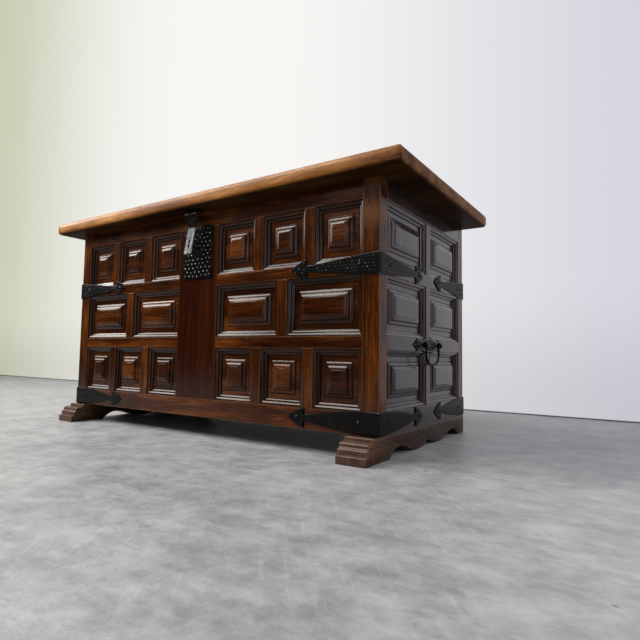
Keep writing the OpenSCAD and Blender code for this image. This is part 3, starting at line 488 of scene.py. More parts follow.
@dataclass(frozen=True)
class WoodFinish:
    """Stained, varnished and polished wood.

    The figure is noise that is stretched along the grain at three sizes: broad bands, fine fibres
    and short dark pores. The stain lies in patches, rubbed edges show lighter wood, and a near-black
    mix paints shade in creases, recesses and under the lid and darkens end grain with more stain.
    """

    name: str
    dark: Colour
    middle: Colour
    light: Colour
    worn: Colour
    roughness: float = 0.3
    coat: float = 0.85
    gloss: float = 0.005
    coat_roughness: float = 0.135
    coat_ior: float = 1.27
    bands: float = 34.0
    wear: float = 0.45
    relief: float = 0.00025

    def build(self) -> bpy.types.Material:
        """Makes the material."""
        tree = Tree(bpy.data.materials.new(self.name))
        grain = tree.attribute("grain")
        wear, grime_and_shade, tone = tree.parts(tree.attribute("state"))
        sway = tree.node("ShaderNodeTexNoise", {}, {"Vector": grain, "Scale": 5.0, "Detail": 1.0})
        grain = tree.vector("MULTIPLY_ADD", sway.outputs["Color"], (0.0, 0.016, 0.016), grain)
        bands = tree.streaks(grain, 2.4, self.bands, 4.0, 0.6)
        fibres = tree.streaks(grain, 13.0, 430.0, 3.0, 0.6)
        pores = tree.streaks(grain, 70.0, 1500.0, 1.0)
        patches = tree.streaks(grain, 5.0, 9.0, 3.0)
        chips = tree.noise(grain, 4.0, 0.7, 95.0)

        depth = bands.rise(0.3, 0.7) * 0.38 + fibres.rise(0.3, 0.7) * 0.3 + patches.rise(0.3, 0.7) * 0.32
        depth = (depth + tone * 0.5 - 0.24).clamped()
        colour = tree.mix(depth.rise(0.05, 0.5), shade(*self.dark), shade(*self.middle))
        colour = tree.mix(depth.rise(0.45, 0.95), colour, shade(*self.light))
        pore = 1 - pores.rise(0.3, 0.4)
        colour = tree.mix(pore * 0.55, colour, shade(*(0.35 * c for c in self.dark)))
        rubbed = (wear * 1.3 + chips * 1.1 - 1.15).clamped() * self.wear
        colour = tree.mix(rubbed, colour, shade(*self.worn))
        # Near-black mix: painted shade in creases, recesses and under the lid, and the end grain's heavier
        # stain.
        dirt_and_shade = (grime_and_shade * (0.45 + patches * 0.7)).clamped()
        colour = tree.mix(dirt_and_shade * 0.85, colour, shade(0.004, 0.0022, 0.0014))

        smears = tree.noise(grain, 3.0, 0.6, 38.0)
        rough = self.roughness + smears * 0.14 - 0.07 + rubbed * 0.18 + dirt_and_shade * 0.22 + pore * 0.1
        waves = tree.streaks(grain, 14.0, 40.0, 2.0)
        height = fibres * 0.35 + bands * 0.5 - pore * 0.5 + waves * 1.3 - chips * wear * 0.9
        tree.surface(colour, rough, height, self.relief)
        tree.feed(tree.shader.inputs["Coat Weight"], (self.coat * (1.15 - dirt_and_shade - rubbed * 0.5)).clamped())
        tree.constants(Coat_Roughness=self.coat_roughness, Coat_IOR=self.coat_ior,
                       Specular_IOR_Level=self.gloss)
        return tree.owner


@dataclass(frozen=True)
class IronFinish:
    """Forged iron under black wax: hammer dents, and bare metal where hands and cloths rub."""

    name: str
    black: Colour = (0.0035, 0.0035, 0.0035)
    bare: Colour = (0.40, 0.41, 0.40)
    roughness: float = 0.42
    dents: float = 190.0
    relief: float = 0.00045
    bare_share: float = 0.0
    metal: float = 0.7
    gloss: float = 0.012
    wax: float = 0.48
    wax_roughness: float = 0.2
    wax_ior: float = 1.25

    def build(self) -> bpy.types.Material:
        """Makes the material."""
        tree = Tree(bpy.data.materials.new(self.name))
        place = tree.place()
        wear, grime_and_shade, _ = tree.parts(tree.attribute("state"))
        cells = tree.node("ShaderNodeTexVoronoi", {"feature": "SMOOTH_F1"},
                          {"Vector": place, "Scale": self.dents, "Smoothness": 0.6})
        dent = Term(tree, cells.outputs["Distance"])
        patches = tree.noise(place, 3.0, 0.6, 45.0)
        specks = tree.noise(place, 4.0, 0.65, 420.0)
        bare = (wear + self.bare_share + patches * 0.5 + specks * 0.9 - 1.12).rise(0.0, 0.42)
        rust = (patches * 1.2 + grime_and_shade * 0.4 - 0.55).clamped() * 0.5
        colour = tree.mix(rust, shade(*self.black), shade(0.03, 0.016, 0.009))
        colour = tree.mix(bare, colour, shade(*self.bare))
        rough = self.roughness + specks * 0.2 - 0.1 - bare * 0.12 + rust * 0.3
        tree.surface(colour, rough, dent + specks * 0.12 + patches * 0.5, self.relief)
        tree.feed(tree.shader.inputs["Metallic"], bare * self.metal)
        tree.constants(Specular_IOR_Level=self.gloss, Coat_Weight=self.wax, Coat_Roughness=self.wax_roughness,
                       Coat_IOR=self.wax_ior)
        return tree.owner


class Finishes:
    """Every finish of the chest.

    The right end's copies of the wood, with paler, greyer stains that paint the wall's sheen on that
    end, and the lock's darker iron are further ones.
    """

    def __init__(self) -> None:
        """Mixes the stains and makes the materials."""
        dark, middle = (0.006, 0.0013, 0.0003), (0.031, 0.0072, 0.0011)
        light, worn = (0.128, 0.036, 0.0052), (0.17, 0.075, 0.028)
        # Painted sheen: pale, greyish stains for the right end that stand for the wall's reflection on it.
        painted_sheen = (0.007, 0.0032, 0.0022), (0.022, 0.0115, 0.0085), (0.052, 0.032, 0.025), (0.16, 0.12, 0.10)
        self.frame = WoodFinish("frame_wood", dark, middle, light, worn).build()
        self.stile = WoodFinish("stile_wood", (0.011, 0.0016, 0.0003), (0.021, 0.0035, 0.0006),
                                (0.042, 0.0090, 0.0014), worn, bands=60.0, wear=0.3).build()
        self.panel = WoodFinish("panel_wood", dark, middle, light, worn, roughness=0.27, coat=1.0,
                                wear=0.18).build()
        self.moulding = WoodFinish("moulding_wood", (0.005, 0.0012, 0.0003), (0.016, 0.0042, 0.0009),
                                   (0.06, 0.017, 0.0026), (0.15, 0.07, 0.03), roughness=0.27, coat=1.0,
                                   wear=0.4).build()
        # The right end's wood: the painted sheen stains, under a stronger coat.
        self.painted_sheen_frame = WoodFinish("frame_wood_painted_sheen", *painted_sheen, coat=1.0, coat_ior=1.45).build()
        self.painted_sheen_panel = WoodFinish("panel_wood_painted_sheen", (0.008, 0.0045, 0.0036), (0.026, 0.0165, 0.014),
                                      (0.056, 0.040, 0.035), (0.18, 0.14, 0.12), coat=1.0, coat_ior=1.5,
                                      coat_roughness=0.17, wear=0.2).build()
        self.painted_sheen_moulding = WoodFinish("moulding_wood_painted_sheen", *painted_sheen, coat=1.0, coat_ior=1.45,
                                         wear=0.3).build()
        # Painted light: the lid's stains are far lighter than the case's, standing for the light that falls
        # on its up-facing nose.
        self.lid = WoodFinish("lid_wood", (0.030, 0.0080, 0.0016), (0.19, 0.067, 0.0115),
                              (0.44, 0.200, 0.046), (0.40, 0.22, 0.10), roughness=0.32, coat=0.5,
                              coat_roughness=0.3, bands=26.0, wear=0.6).build()
        self.foot = WoodFinish("foot_wood", (0.007, 0.0026, 0.0013), (0.022, 0.0080, 0.0038),
                               (0.052, 0.020, 0.010), (0.20, 0.12, 0.08), roughness=0.4, coat=0.6,
                               wear=0.6).build()
        self.plain = WoodFinish("plain_wood", (0.05, 0.022, 0.009), (0.13, 0.062, 0.026), (0.24, 0.13, 0.06),
                                (0.3, 0.18, 0.09), roughness=0.62, coat=0.05, wear=0.3).build()
        self.black = IronFinish("black_iron").build()
        self.bright = IronFinish("bright_iron", bare=(0.23, 0.24, 0.24), bare_share=-0.38, metal=0.12,
                                 roughness=0.6, relief=0.003, dents=150.0, wax=0.3).build()
        self.lock = IronFinish("black_iron_lock", black=(0.0025, 0.0027, 0.0026), gloss=0.005,
                               wax=0.2).build()


# Boards


@dataclass
class Plank:
    """A sawn and planed board with rubbed arrises.

    Its section is a rectangle with round corners, carried along the grain. The corners' radius
    wanders along the board, and both ends draw in a little. Wear is 1 on an arris and falls to 0 at
    the fade distance from it. A board may also be rubbed all round, past a level along it.
    """

    low: Array
    high: Array
    axis: int
    seed: int
    arris: float = 0.6
    fade: float = 2.8
    spacing: float = 16.0
    tone: float = 0.5
    rub: float = 0.0
    rub_from: float = 0.0
    rub_over: float = 40.0

    def add_to(self, shape: Shape) -> None:
        """Adds the board to a shape."""
        across = [axis for axis in range(3) if axis != self.axis]
        start, end = self.low[self.axis], self.high[self.axis]
        near = self.arris * np.array([0.0, 0.3, 1.0])
        clear = self.arris * 1.8
        inner = np.linspace(start + clear, end - clear, max(3, int((end - start) / self.spacing)))
        stations = np.concatenate([start + near, inner, end - near[::-1]])
        pull = np.zeros(len(stations))
        pull[[0, -1]] = self.arris
        pull[[1, -2]] = self.arris * 0.3
        from_end = np.minimum(stations - start, end - stations)
        near_end = np.clip(1 - from_end / self.fade, 0, 1)

        steps = np.array([[0, 2], [0, 1.3], [0, 1], [0.29, 0.29], [1, 0], [1.3, 0], [2, 0]])
        corners = [(1, 1, False), (-1, 1, True), (-1, -1, False), (1, -1, True)]
        places, wears = [], []
        for number, (side_b, side_c, turned) in enumerate(corners):
            radius = self.arris * (0.55 + 0.9 * soft_steps(stations, self.seed * 4 + number, 90.0))
            order = steps[::-1] if turned else steps
            for inset_b, inset_c in order:
                shift = []
                for inset, axis in ((inset_b, across[0]), (inset_c, across[1])):
                    half = (self.high[axis] - self.low[axis]) / 2
                    reach = np.minimum(radius + self.fade, half * 0.8) if inset == 2 else inset * radius
                    shift.append(reach + pull)
                place_b = (self.high if side_b > 0 else self.low)[across[0]] - side_b * shift[0]
                place_c = (self.high if side_c > 0 else self.low)[across[1]] - side_c * shift[1]
                places.append(np.stack([place_b, place_c], -1))
                wears.append(np.full(len(stations), 0.0 if 2 in (inset_b, inset_c) else 1.0))
        section = np.stack(places, 1)
        rubbed = self.rub * np.clip((stations - self.rub_from) / self.rub_over, 0, 1)
        rubbed = rubbed * soft_steps(stations, self.seed, 110.0)
        wear = np.maximum(np.stack(wears, 1), np.maximum(near_end * 0.6, rubbed)[:, None])
        points = np.empty((*section.shape[:2], 3))
        points[..., self.axis] = stations[:, None]
        points[..., across] = section
        grain = np.concatenate([points[..., [self.axis]], section], -1) + cut_at(self.seed)
        shape.tube(points, grain, wear, tone=self.tone)


@dataclass
class CaseFrame:
    """Posts, rails, stile and muntins, cut at their shoulders."""

    finishes: Finishes
    tones: tuple[float, ...] = (0.52, 0.44, 0.58, 0.47, 0.5)

    def board(self, shape: Shape, box: Corners, axis: int, ends: Pair, seed: int) -> None:
        """Adds one piece of a wall, from a box and the two shoulders that it runs between."""
        low, high = box[0].copy(), box[1].copy()
        low[axis], high[axis] = ends
        Plank(low, high, axis, seed, tone=self.tones[seed % len(self.tones)]).add_to(shape)

    def post(self, name: str, seed: int) -> None:
        """One corner post, which is seen whole."""
        shape = Shape()
        low, high = extent(name)
        rub = 1.7 if name == "post_front_right" else 0.0
        Plank(low, high, 2, seed, arris=0.9, tone=0.5, rub=rub, rub_from=430.0).add_to(shape)
        shape.build(f"{name}_board", "case", "frame_wood", self.finishes.frame, [name])

    def levels(self, side: str) -> list[Pair]:
        """Lower and upper edge of each rail of a wall, from the top down."""
        plural = "s" if side == "front" else ""
        rails = [extent(f"{side}_{name}") for name in
                 ("top_rail", f"upper_rail{plural}", f"lower_rail{plural}", "bottom_rail")]
        return [(low[2], high[2]) for low, high in rails]

    def muntins(self, wall: Wall, seed: int) -> None:
        """Short uprights of a wall, each between the rails above and below it."""
        side = wall.value
        levels = self.levels(side)
        shape = Shape()
        for number, box in enumerate(solids(f"{side}_muntins")):
            centre = (box[0][2] + box[1][2]) / 2
            below = max(level[1] for level in levels if level[1] < centre)
            above = min(level[0] for level in levels if level[0] > centre)
            self.board(shape, box, 2, (below, above), seed + number)
        # The right end takes the painted sheen wood.
        finish = self.finishes.painted_sheen_frame if wall is Wall.RIGHT else self.finishes.frame
        shape.build(f"{side}_muntin_boards", "case", "frame_wood", finish, [f"{side}_muntins"])

    def build(self) -> None:
        """Builds the whole frame."""
        for seed, end in enumerate(("front", "back")):
            for side in ("left", "right"):
                self.post(f"post_{end}_{side}", 11 + 2 * seed + (side == "right"))
        left, right = extent("post_front_left")[1][0], extent("post_front_right")[0][0]
        stile = extent("front_centre_stile")
        halves = [(left, stile[0][0]), (stile[1][0], right)]
        for seed, name in enumerate(("front_top_rail", "front_bottom_rail")):
            shape = Shape()
            self.board(shape, extent(name), 0, (left, right), 21 + seed)
            shape.build(f"{name}_board", "case", "frame_wood", self.finishes.frame, [name])
        for seed, name in enumerate(("front_upper_rails", "front_lower_rails")):
            shape = Shape()
            for number, (box, ends) in enumerate(zip(solids(name), halves)):
                self.board(shape, box, 0, ends, 31 + 2 * seed + number)
            shape.build(f"{name}_boards", "case", "frame_wood", self.finishes.frame, [name])
        levels = self.levels("front")
        shape = Shape()
        self.board(shape, stile, 2, (levels[3][1], levels[0][0]), 40)
        shape.build("front_centre_stile_board", "case", "stile_wood", self.finishes.stile,
                    ["front_centre_stile"])
        self.muntins(Wall.FRONT, 50)
        for seed, wall in enumerate((Wall.LEFT, Wall.RIGHT)):
            side = wall.value
            near, far = extent(f"post_front_{side}")[1][1], extent(f"post_back_{side}")[0][1]
            # The right end takes the painted sheen wood.
            finish = self.finishes.painted_sheen_frame if wall is Wall.RIGHT else self.finishes.frame
            for number, name in enumerate(("top_rail", "upper_rail", "lower_rail", "bottom_rail")):
                shape = Shape()
                self.board(shape, extent(f"{side}_{name}"), 1, (near, far), 70 + 10 * seed + number)
                shape.build(f"{side}_{name}_board", "case", "frame_wood", finish, [f"{side}_{name}"])
            self.muntins(wall, 90 + 10 * seed)


@dataclass
class PanelWork:
    """Raised panels and the mitred mouldings round them."""

    case: Case
    finishes: Finishes
    panel_back: float = 22.0
    tongue: float = 6.2
    field_section: tuple[Pair, ...] = (
        (28.5, 13.0), (28.9, 11.3), (37.0, 8.8), (37.8, 5.8), (47.0, 2.7), (47.5, 2.0), (50.5, 2.0))
    field_slopes: tuple[Pair, ...] = ((28.9, 37.0), (37.8, 47.0))
    swell: float = 0.4
    slope_steps: int = 6
    side_steps: int = 6
    moulding_w: float = 15.5
    ground_d: float = 13.0
    mitre_gap: float = 0.12
    # Painted shade: places and width of the dark lines in the field's creases.
    painted_crease_lines: tuple[float, ...] = (27.9, 36.8)
    painted_crease_w: float = 1.4

    def slope(self, start: Pair, end: Pair) -> list[Pair]:
        """Points from one to another, pushed out by half a sine wave so that the face swells."""
        share = np.linspace(0, 1, self.slope_steps + 1)
        inset = start[0] + (end[0] - start[0]) * share
        depth = start[1] + (end[1] - start[1]) * share - self.swell * np.sin(np.pi * share)
        return list(zip(inset, depth))

    def moulding_section(self) -> list[Pair]:
        """A fillet, a swelling slope, a step, a second slope and a thin end, as inset and depth."""
        return [
            (0.15, 0.9), (1.4, 0.9), *self.slope((1.8, 2.2), (8.2, 5.0)),
            *self.slope((9.0, 8.2), (14.9, 10.9)),
            (self.moulding_w, self.ground_d - 0.6), (self.moulding_w, self.ground_d), (0.15, self.ground_d),
        ]

    def panel(self, shape: Shape, wall: Wall, box: Opening, seed: int) -> None:
        """One raised panel: a closed shell of nested rectangles from its back to its flat field.

        Each of the field's two slopes swells by half a sine wave.
        """
        middle, wear, _ = soften([(-self.tongue, self.ground_d), *self.field_section], 0.5)
        between = np.array([18.5, 22.0, 26.4, 30.3, 31.7, 33.1, 34.5, 35.7, 39.4, 41.0, 42.6, 44.2, 45.7])
        order = np.argsort(np.concatenate([middle[:, 0], between]))
        inset = np.concatenate([middle[:, 0], between])[order]
        depth = np.interp(inset, middle[:, 0], middle[:, 1])
        for start, end in self.field_slopes:
            depth -= self.swell * np.sin(np.pi * np.clip((inset - start) / (end - start), 0, 1))
        wear = np.concatenate([wear, np.zeros(len(between))])[order]
        inset = np.concatenate([[-self.tongue], inset])
        depth = np.concatenate([[self.panel_back], depth])
        wear = np.concatenate([[0], wear])
        # Painted shade: dark lines in the field's creases, and the ground beside the moulding darkened as a
        # shaded recess.
        grime_and_shade = np.zeros(len(inset))
        for line in self.painted_crease_lines:
            grime_and_shade = np.maximum(grime_and_shade, soft_lines(inset, (1.0, line, self.painted_crease_w)))
        painted_recess_shade = np.interp(inset, [0, self.moulding_w + 0.8, self.moulding_w + 3.5], [1, 1, 0])
        points = self.case.rings(wall, box, inset[:, None], depth[:, None], self.side_steps)
        grain = points[..., [2, 1, 0] if wall.axis else [0, 2, 1]] + cut_at(seed)
        shape.tube(points, grain, wear[:, None], np.maximum(grime_and_shade * 0.9, painted_recess_shade)[:, None],
                   0.5 + 0.16 * math.sin(seed * 2.4))

    def stick(self, shape: Shape, wall: Wall, box: Opening, edge: int, seed: int) -> None:
        """One mitred stick of moulding: its section carried along one edge of the opening.

        A point of inset i runs from i to the edge's length less i, which cuts both ends at 45 degrees.
        """
        u0, u1, z0, z1 = box
        section = np.array(self.moulding_section())
        inset, depth = section[:, 0], section[:, 1]
        length = u1 - u0 if edge % 2 == 0 else z1 - z0
        share = np.linspace(0, 1, 7)[:, None]
        i = inset[None, :]
        run = i + self.mitre_gap + (length - 2 * i - 2 * self.mitre_gap) * share
        i, depth_of = np.broadcast_to(i, run.shape), np.broadcast_to(depth, run.shape)
        if edge == 0:
            along, height = u0 + run, z0 + i
        elif edge == 2:
            along, height = u0 + run, z1 - i
        else:
            along, height = (u1 - i if edge == 1 else u0 + i), z0 + run
        points = self.case.place(wall, along, depth_of, height)
        grain = np.stack([run, i, depth_of], -1) + cut_at(seed)
        wear = soft_lines(inset, (0.8, 1.2, 0.7), (1.0, 7.9, 0.9))
        # Painted shade in the section's two creases and where the moulding meets the ground.
        grime_and_shade = soft_lines(inset, (1.0, 9.3, 0.8), (1.0, 1.9, 0.5)) + (inset > self.moulding_w - 1)
        shape.tube(points, grain, wear, np.clip(grime_and_shade, 0, 1), 0.5 + 0.12 * math.sin(seed * 1.7))

    def build(self) -> None:
        """Builds the panels and mouldings of the front and of both ends."""
        groups = [(Wall.FRONT, "_top"), (Wall.FRONT, "_middle"), (Wall.FRONT, "_bottom")]
        groups += [(Wall.LEFT, ""), (Wall.RIGHT, "")]
        for number, (wall, row) in enumerate(groups):
            panels, mouldings = f"{wall.value}_panels{row}", f"{wall.value}_mouldings{row}"
            fields, sticks = Shape(), Shape()
            for count, solid in enumerate(solids(mouldings)):
                box = self.case.measure(wall, solid)
                self.panel(fields, wall, box, 200 + 40 * number + count)
                for edge in range(4):
                    self.stick(sticks, wall, box, edge, 500 + 100 * number + 4 * count + edge)
            # The right end takes the painted sheen finishes.
            painted_sheen = wall is Wall.RIGHT
            panel = self.finishes.painted_sheen_panel if painted_sheen else self.finishes.panel
            moulding = self.finishes.painted_sheen_moulding if painted_sheen else self.finishes.moulding
            fields.build(f"{panels}_carved", "case", "panel_wood", panel, [panels], crease=20.0)
            sticks.build(f"{mouldings}_sticks", "case", "moulding_wood", moulding, [mouldings], crease=30.0)


@dataclass
class BackAndFloor:
    """Back boards, floor boards and their cleats."""

    finishes: Finishes
    back_count: int = 3
    seam: float = 0.4

    def build(self) -> None:
        """Builds the boards."""
        shape = Shape()
        low, high = extent("back_boards")
        ends = extent("post_back_left")[1][0], extent("post_back_right")[0][0]
        step = (high[2] - low[2]) / self.back_count
        for number in range(self.back_count):
            board_low = np.array([ends[0], low[1], low[2] + number * step])
            board_high = np.array([ends[1], high[1], low[2] + (number + 1) * step - self.seam])
            tone = 0.45 + 0.06 * number
            Plank(board_low, board_high, 0, 140 + number, arris=0.7, spacing=22, tone=tone).add_to(shape)
        shape.build("back_boards_sawn", "case", "frame_wood", self.finishes.frame, ["back_boards"])
        for name, axis, seed in (("floor_boards", 1, 150), ("floor_cleats", 0, 170)):
            shape = Shape()
            for number, (box_low, box_high) in enumerate(solids(name)):
                tone = 0.4 + 0.05 * (number % 4)
                Plank(box_low, box_high, axis, seed + number, arris=0.7, spacing=24, tone=tone).add_to(shape)
            shape.build(f"{name}_sawn", "case", "plain_wood", self.finishes.plain, [name])


@dataclass
class Feet:
    """The two sledge feet: four reeds in front and a scalloped underside."""

    case: Case
    finishes: Finishes
    reed_heights: tuple[float, ...] = (18.0, 14.0, 11.0, 9.0)
    reed_backs: tuple[float, ...] = (0.0, 8.0, 15.0, 36.0)
    reed_radii: tuple[float, ...] = (3.0, 6.0, 6.0, 4.0)
    nose: float = 57.0
    lobe: float = 72.0
    arch: float = 177.0
    cusp: float = 14.0
    lift: float = 1.2
    rise: float = 22.0
    out: float = 45.0
    edge: float = 1.1

    def underside(self, distance: Array) -> Array:
        """Height of the lower edge: a lobe, a cosine rise to the arch, and a steep fall to the pad."""
        lobe = self.lift + self.cusp * (1 - distance / self.lobe) ** 2
        share = (distance - self.lobe) / (self.arch - self.lobe)
        slope = self.lift + (self.rise - self.lift) * (1 - np.cos(np.pi * share)) / 2
        fall = self.rise * (1 - ((distance - self.arch) / self.out) ** 2)
        return np.where(distance < self.lobe, lobe, np.where(distance < self.arch, slope, fall))

    def outline(self) -> tuple[Array, Array]:
        """Side view of a foot as points of y and z, and the wear at each point."""
        points: list[Pair] = []
        base, top = 0.0, sum(self.reed_heights)
        for height, back, radius in zip(self.reed_heights, self.reed_backs, self.reed_radii):
            y = self.case.low[1] - self.nose + back
            points += [(y, base + 1.5)]
            points += arc((y + radius, base + height - radius), radius, 180, 90, 6)
            base += height
        front = len(points)
        points += [(y, top) for y in np.linspace(self.case.low[1] - 12, self.case.high[1] - 1, 30)]
        points += [(self.case.high[1], top - 1), (self.case.high[1], 1.0), (self.case.high[1] - 1, 0.0)]
        middle = (self.case.low[1] + self.case.high[1]) / 2
        run = np.linspace(self.arch + self.out, -self.arch - self.out, 81)
        points += list(zip(middle + run, self.underside(np.abs(run))))
        y = self.case.low[1] - self.nose
        points += [(y + 1.5, 0.0)]
        wear = np.full(len(points), 0.35)
        wear[:front] = 0.8
        return np.array(points), wear

    def build(self) -> None:
        """Carries the outline across each foot, drawn in at both sides for the rubbed arris."""
        outline, wear = self.outline()
        ahead, behind = np.roll(outline, -1, 0), np.roll(outline, 1, 0)
        way = (ahead - behind) / np.linalg.norm(ahead - behind, axis=1, keepdims=True)
        inward = np.stack([way[:, 1], -way[:, 0]], -1)
        for number, side in enumerate(("left", "right")):
            low, high = extent(f"foot_{side}")
            face = np.array([[low[0], self.edge], [low[0] + 0.3, 0.3], [low[0] + self.edge, 0.0]])
            middle = np.linspace(low[0] + 6, high[0] - 6, 6)
            back = np.array([[high[0] - self.edge, 0.0], [high[0] - 0.3, 0.3], [high[0], self.edge]])
            x = np.concatenate([face[:, 0], middle, back[:, 0]])
            inset = np.concatenate([face[:, 1], np.zeros(6), back[:, 1]])
            spread = outline[None] + inward[None] * inset[:, None, None]
            points = np.concatenate([np.broadcast_to(x[:, None, None], (*spread.shape[:2], 1)), spread], -1)
            edge_wear = np.interp(inset, [0, 0.3, self.edge], [0.0, 1.0, 0.5])
            worn = np.maximum(edge_wear[:, None], np.where(inset < 3, 1, 0)[:, None] * wear[None] * 0.9)
            shape = Shape()
            shape.tube(points, points[..., [1, 0, 2]] + cut_at(180 + number), worn)
            shape.build(f"foot_{side}_carved", "case", "foot_wood", self.finishes.foot, [f"foot_{side}"],
                        crease=32.0)


@dataclass
class Lid:
    """Three boards with a rounded edge on three sides, and two battens."""

    finishes: Finishes
    top_r: float = 14.0
    low_r: float = 10.0
    # Painted shade: how dark the lid's underside is made; above 1, so that it stays fully dark.
    painted_under_shade: float = 1.6
    batten_slope: float = 12.0

    def section(self, y0: float, y1: float, z0: float, z1: float, front: bool) -> tuple[Array, Array]:
        """A board's section as y and z with the wear at each point, its front edge rounded or square."""
        if front:
            points = arc((y0 + self.low_r, z0 + self.low_r), self.low_r, 270, 180, 8)
            points += arc((y0 + self.top_r, z1 - self.top_r), self.top_r, 180, 90, 10)
            wear = [0.25] * 9 + [0.55] * 11
        else:
            points, wear = [(y0 + 0.5, z0), (y0, z0 + 0.5), (y0, z1 - 0.5), (y0 + 0.5, z1)], [0.2] * 4
        upper = np.linspace(y0 + 22, y1 - 6, 10)
        points += [(y, z1) for y in upper] + [(y1 - 0.5, z1), (y1, z1 - 0.5), (y1, z0 + 0.5), (y1 - 0.5, z0)]
        points += [(y, z0) for y in upper[::-1]]
        wear += [0.0] * 10 + [0.2] * 4 + [0.0] * 10
        return np.array(points), np.array(wear)

    def build(self) -> None:
        """Carries each section along x, held between the rounded ends' upper and lower lines.

        The end grain has taken more stain, and the underside is darkened with painted shade.
        """
        names = ("front", "middle", "back")
        boxes = [extent(f"lid_board_{name}") for name in names]
        starts = [box[0][1] for box in boxes] + [boxes[2][1][1]]
        x0, x1 = boxes[0][0][0], boxes[0][1][0]
        z0, z1 = boxes[0][0][2], boxes[0][1][2]
        near = self.top_r * (1 - np.cos(np.radians(np.linspace(0, 90, 11))))
        x = np.concatenate([x0 + near, np.linspace(x0 + 30, x1 - 30, 70), (x1 - near)[::-1]])
        from_end = np.minimum(x - x0, x1 - x)
        upper = z1 - self.top_r + np.sqrt(self.top_r**2 - np.clip(self.top_r - from_end, 0, None) ** 2)
        lower = z0 + self.low_r - np.sqrt(self.low_r**2 - np.clip(self.low_r - from_end, 0, None) ** 2)
        end_wear = np.interp(from_end, [0, self.top_r, self.top_r + 4], [0.2, 0.2, 0.0])
        end_stain = np.interp(from_end, [0, self.top_r * 0.5, self.top_r], [0.7, 0.45, 0.0])
        for number, name in enumerate(names):
            section, wear = self.section(starts[number], starts[number + 1], z0, z1, number == 0)
            points = np.empty((len(x), len(section), 3))
            points[..., 0] = x[:, None]
            points[..., 1] = section[:, 0]
            points[..., 2] = np.clip(section[:, 1], lower[:, None], upper[:, None])
            # Painted shade darkens the underside and the lowest few mm of each board; end_stain is the end
            # grain's heavier stain.
            grime_and_shade = np.interp(points[..., 2] - z0, [0.0, 1.0, 6.0], [self.painted_under_shade, self.painted_under_shade, 0.0])
            grime_and_shade = np.maximum(grime_and_shade, end_stain[:, None])
            shape = Shape()
            shape.tube(points, points + cut_at(190 + number), np.maximum(wear, end_wear[:, None]), grime_and_shade,
                       0.46 + 0.07 * number)
            shape.build(f"lid_{name}_board_planed", "lid", "lid_wood", self.finishes.lid,
                        [f"lid_board_{name}"], crease=32.0)
        shape = Shape()
        for number, (low, high) in enumerate(solids("lid_battens")):
            self.batten(shape, low, high, 195 + number)
        shape.build("lid_battens_planed", "lid", "plain_wood", self.finishes.plain, ["lid_battens"])

    def batten(self, shape: Shape, low: Array, high: Array, seed: int) -> None:
        """One batten: a plank whose lower side slopes up at both ends."""
        Plank(low, high, 1, seed, arris=1.0, spacing=12).add_to(shape)
        y, z = shape.points[-1][:, 1] / MM, shape.points[-1][:, 2]
        from_end = np.minimum(y - low[1], high[1] - y)
        least = low[2] + (high[2] - low[2]) / 2 * np.clip(1 - from_end / self.batten_slope, 0, 1)
        np.maximum(z, least * MM, out=z)


# Ironwork


@dataclass
class Stud:
    """A small forged head, set many times: a low pyramid or dome of a few faces on a short neck."""

    radius: float
    height: float
    sides: int = 7
    shoulder: float = 0.72
    shoulder_at: float = 0.62
    shoulder_wear: float = 0.55

    def add_to(self, shape: Shape, feet: Array, out: Array, seed: int, wear: float,
               up: Sequence[float] = (0.0, 0.0, 1.0)) -> None:
        """Sets a head at each foot, facing the way that out gives.

        Args:
            shape: shape to add to.
            feet: points under the heads, in mm.
            out: unit vectors away from the surface, or one for all.
            seed: for the heads' small differences.
            wear: wear at the tip.
            up: unit vectors along the surface, or one for all.
        """
        rng = np.random.default_rng(seed)
        count = len(feet)
        out, up = np.broadcast_to(out, feet.shape), np.broadcast_to(up, feet.shape)
        turn = rng.uniform(0, 2 * np.pi, (count, 1)) + np.arange(self.sides) * 2 * np.pi / self.sides
        wobble = rng.uniform(0.86, 1.08, (count, self.sides))
        across = np.cross(out, up)
        shares = (1.0, 1.0, self.shoulder, 0.16)
        levels = (-0.8, self.height * 0.12, self.height * self.shoulder_at, self.height)
        rings = []
        for share, level in zip(shares, levels):
            radius = self.radius * share * wobble
            rings.append(feet[:, None] + out[:, None] * level
                         + up[:, None] * (radius * np.cos(turn))[..., None]
                         + across[:, None] * (radius * np.sin(turn))[..., None])
        worn = np.array([0.0, 0.15, self.shoulder_wear, 1.0])[None, :, None] * wear
        worn = worn * rng.uniform(0.55, 1.1, (count, 1, 1))
        for head, rubbed in zip(np.stack(rings, 1), worn):
            shape.tube(head, head, rubbed)


def nail_places(node: str, case: Case) -> tuple[Array, Array]:
    """Where the head of each nail of a node ends, and the way it faces.

    The long side of a nail's box is its shank, and the end nearer the outside is its head.
    """
    heads, ways = [], []
    centre = (case.low + case.high) / 2
    for low, high in solids(node):
        axis = int(np.argmax(high - low))
        out = np.zeros(3)
        out[axis] = 1.0 if (low + high)[axis] / 2 > centre[axis] else -1.0
        if node == "lid_nails" and axis == 2:
            out[axis] = -1.0
        head = (low + high) / 2
        head[axis] = high[axis] if out[axis] > 0 else low[axis]
        heads.append(head)
        ways.append(out)
    return np.array(heads), np.array(ways)


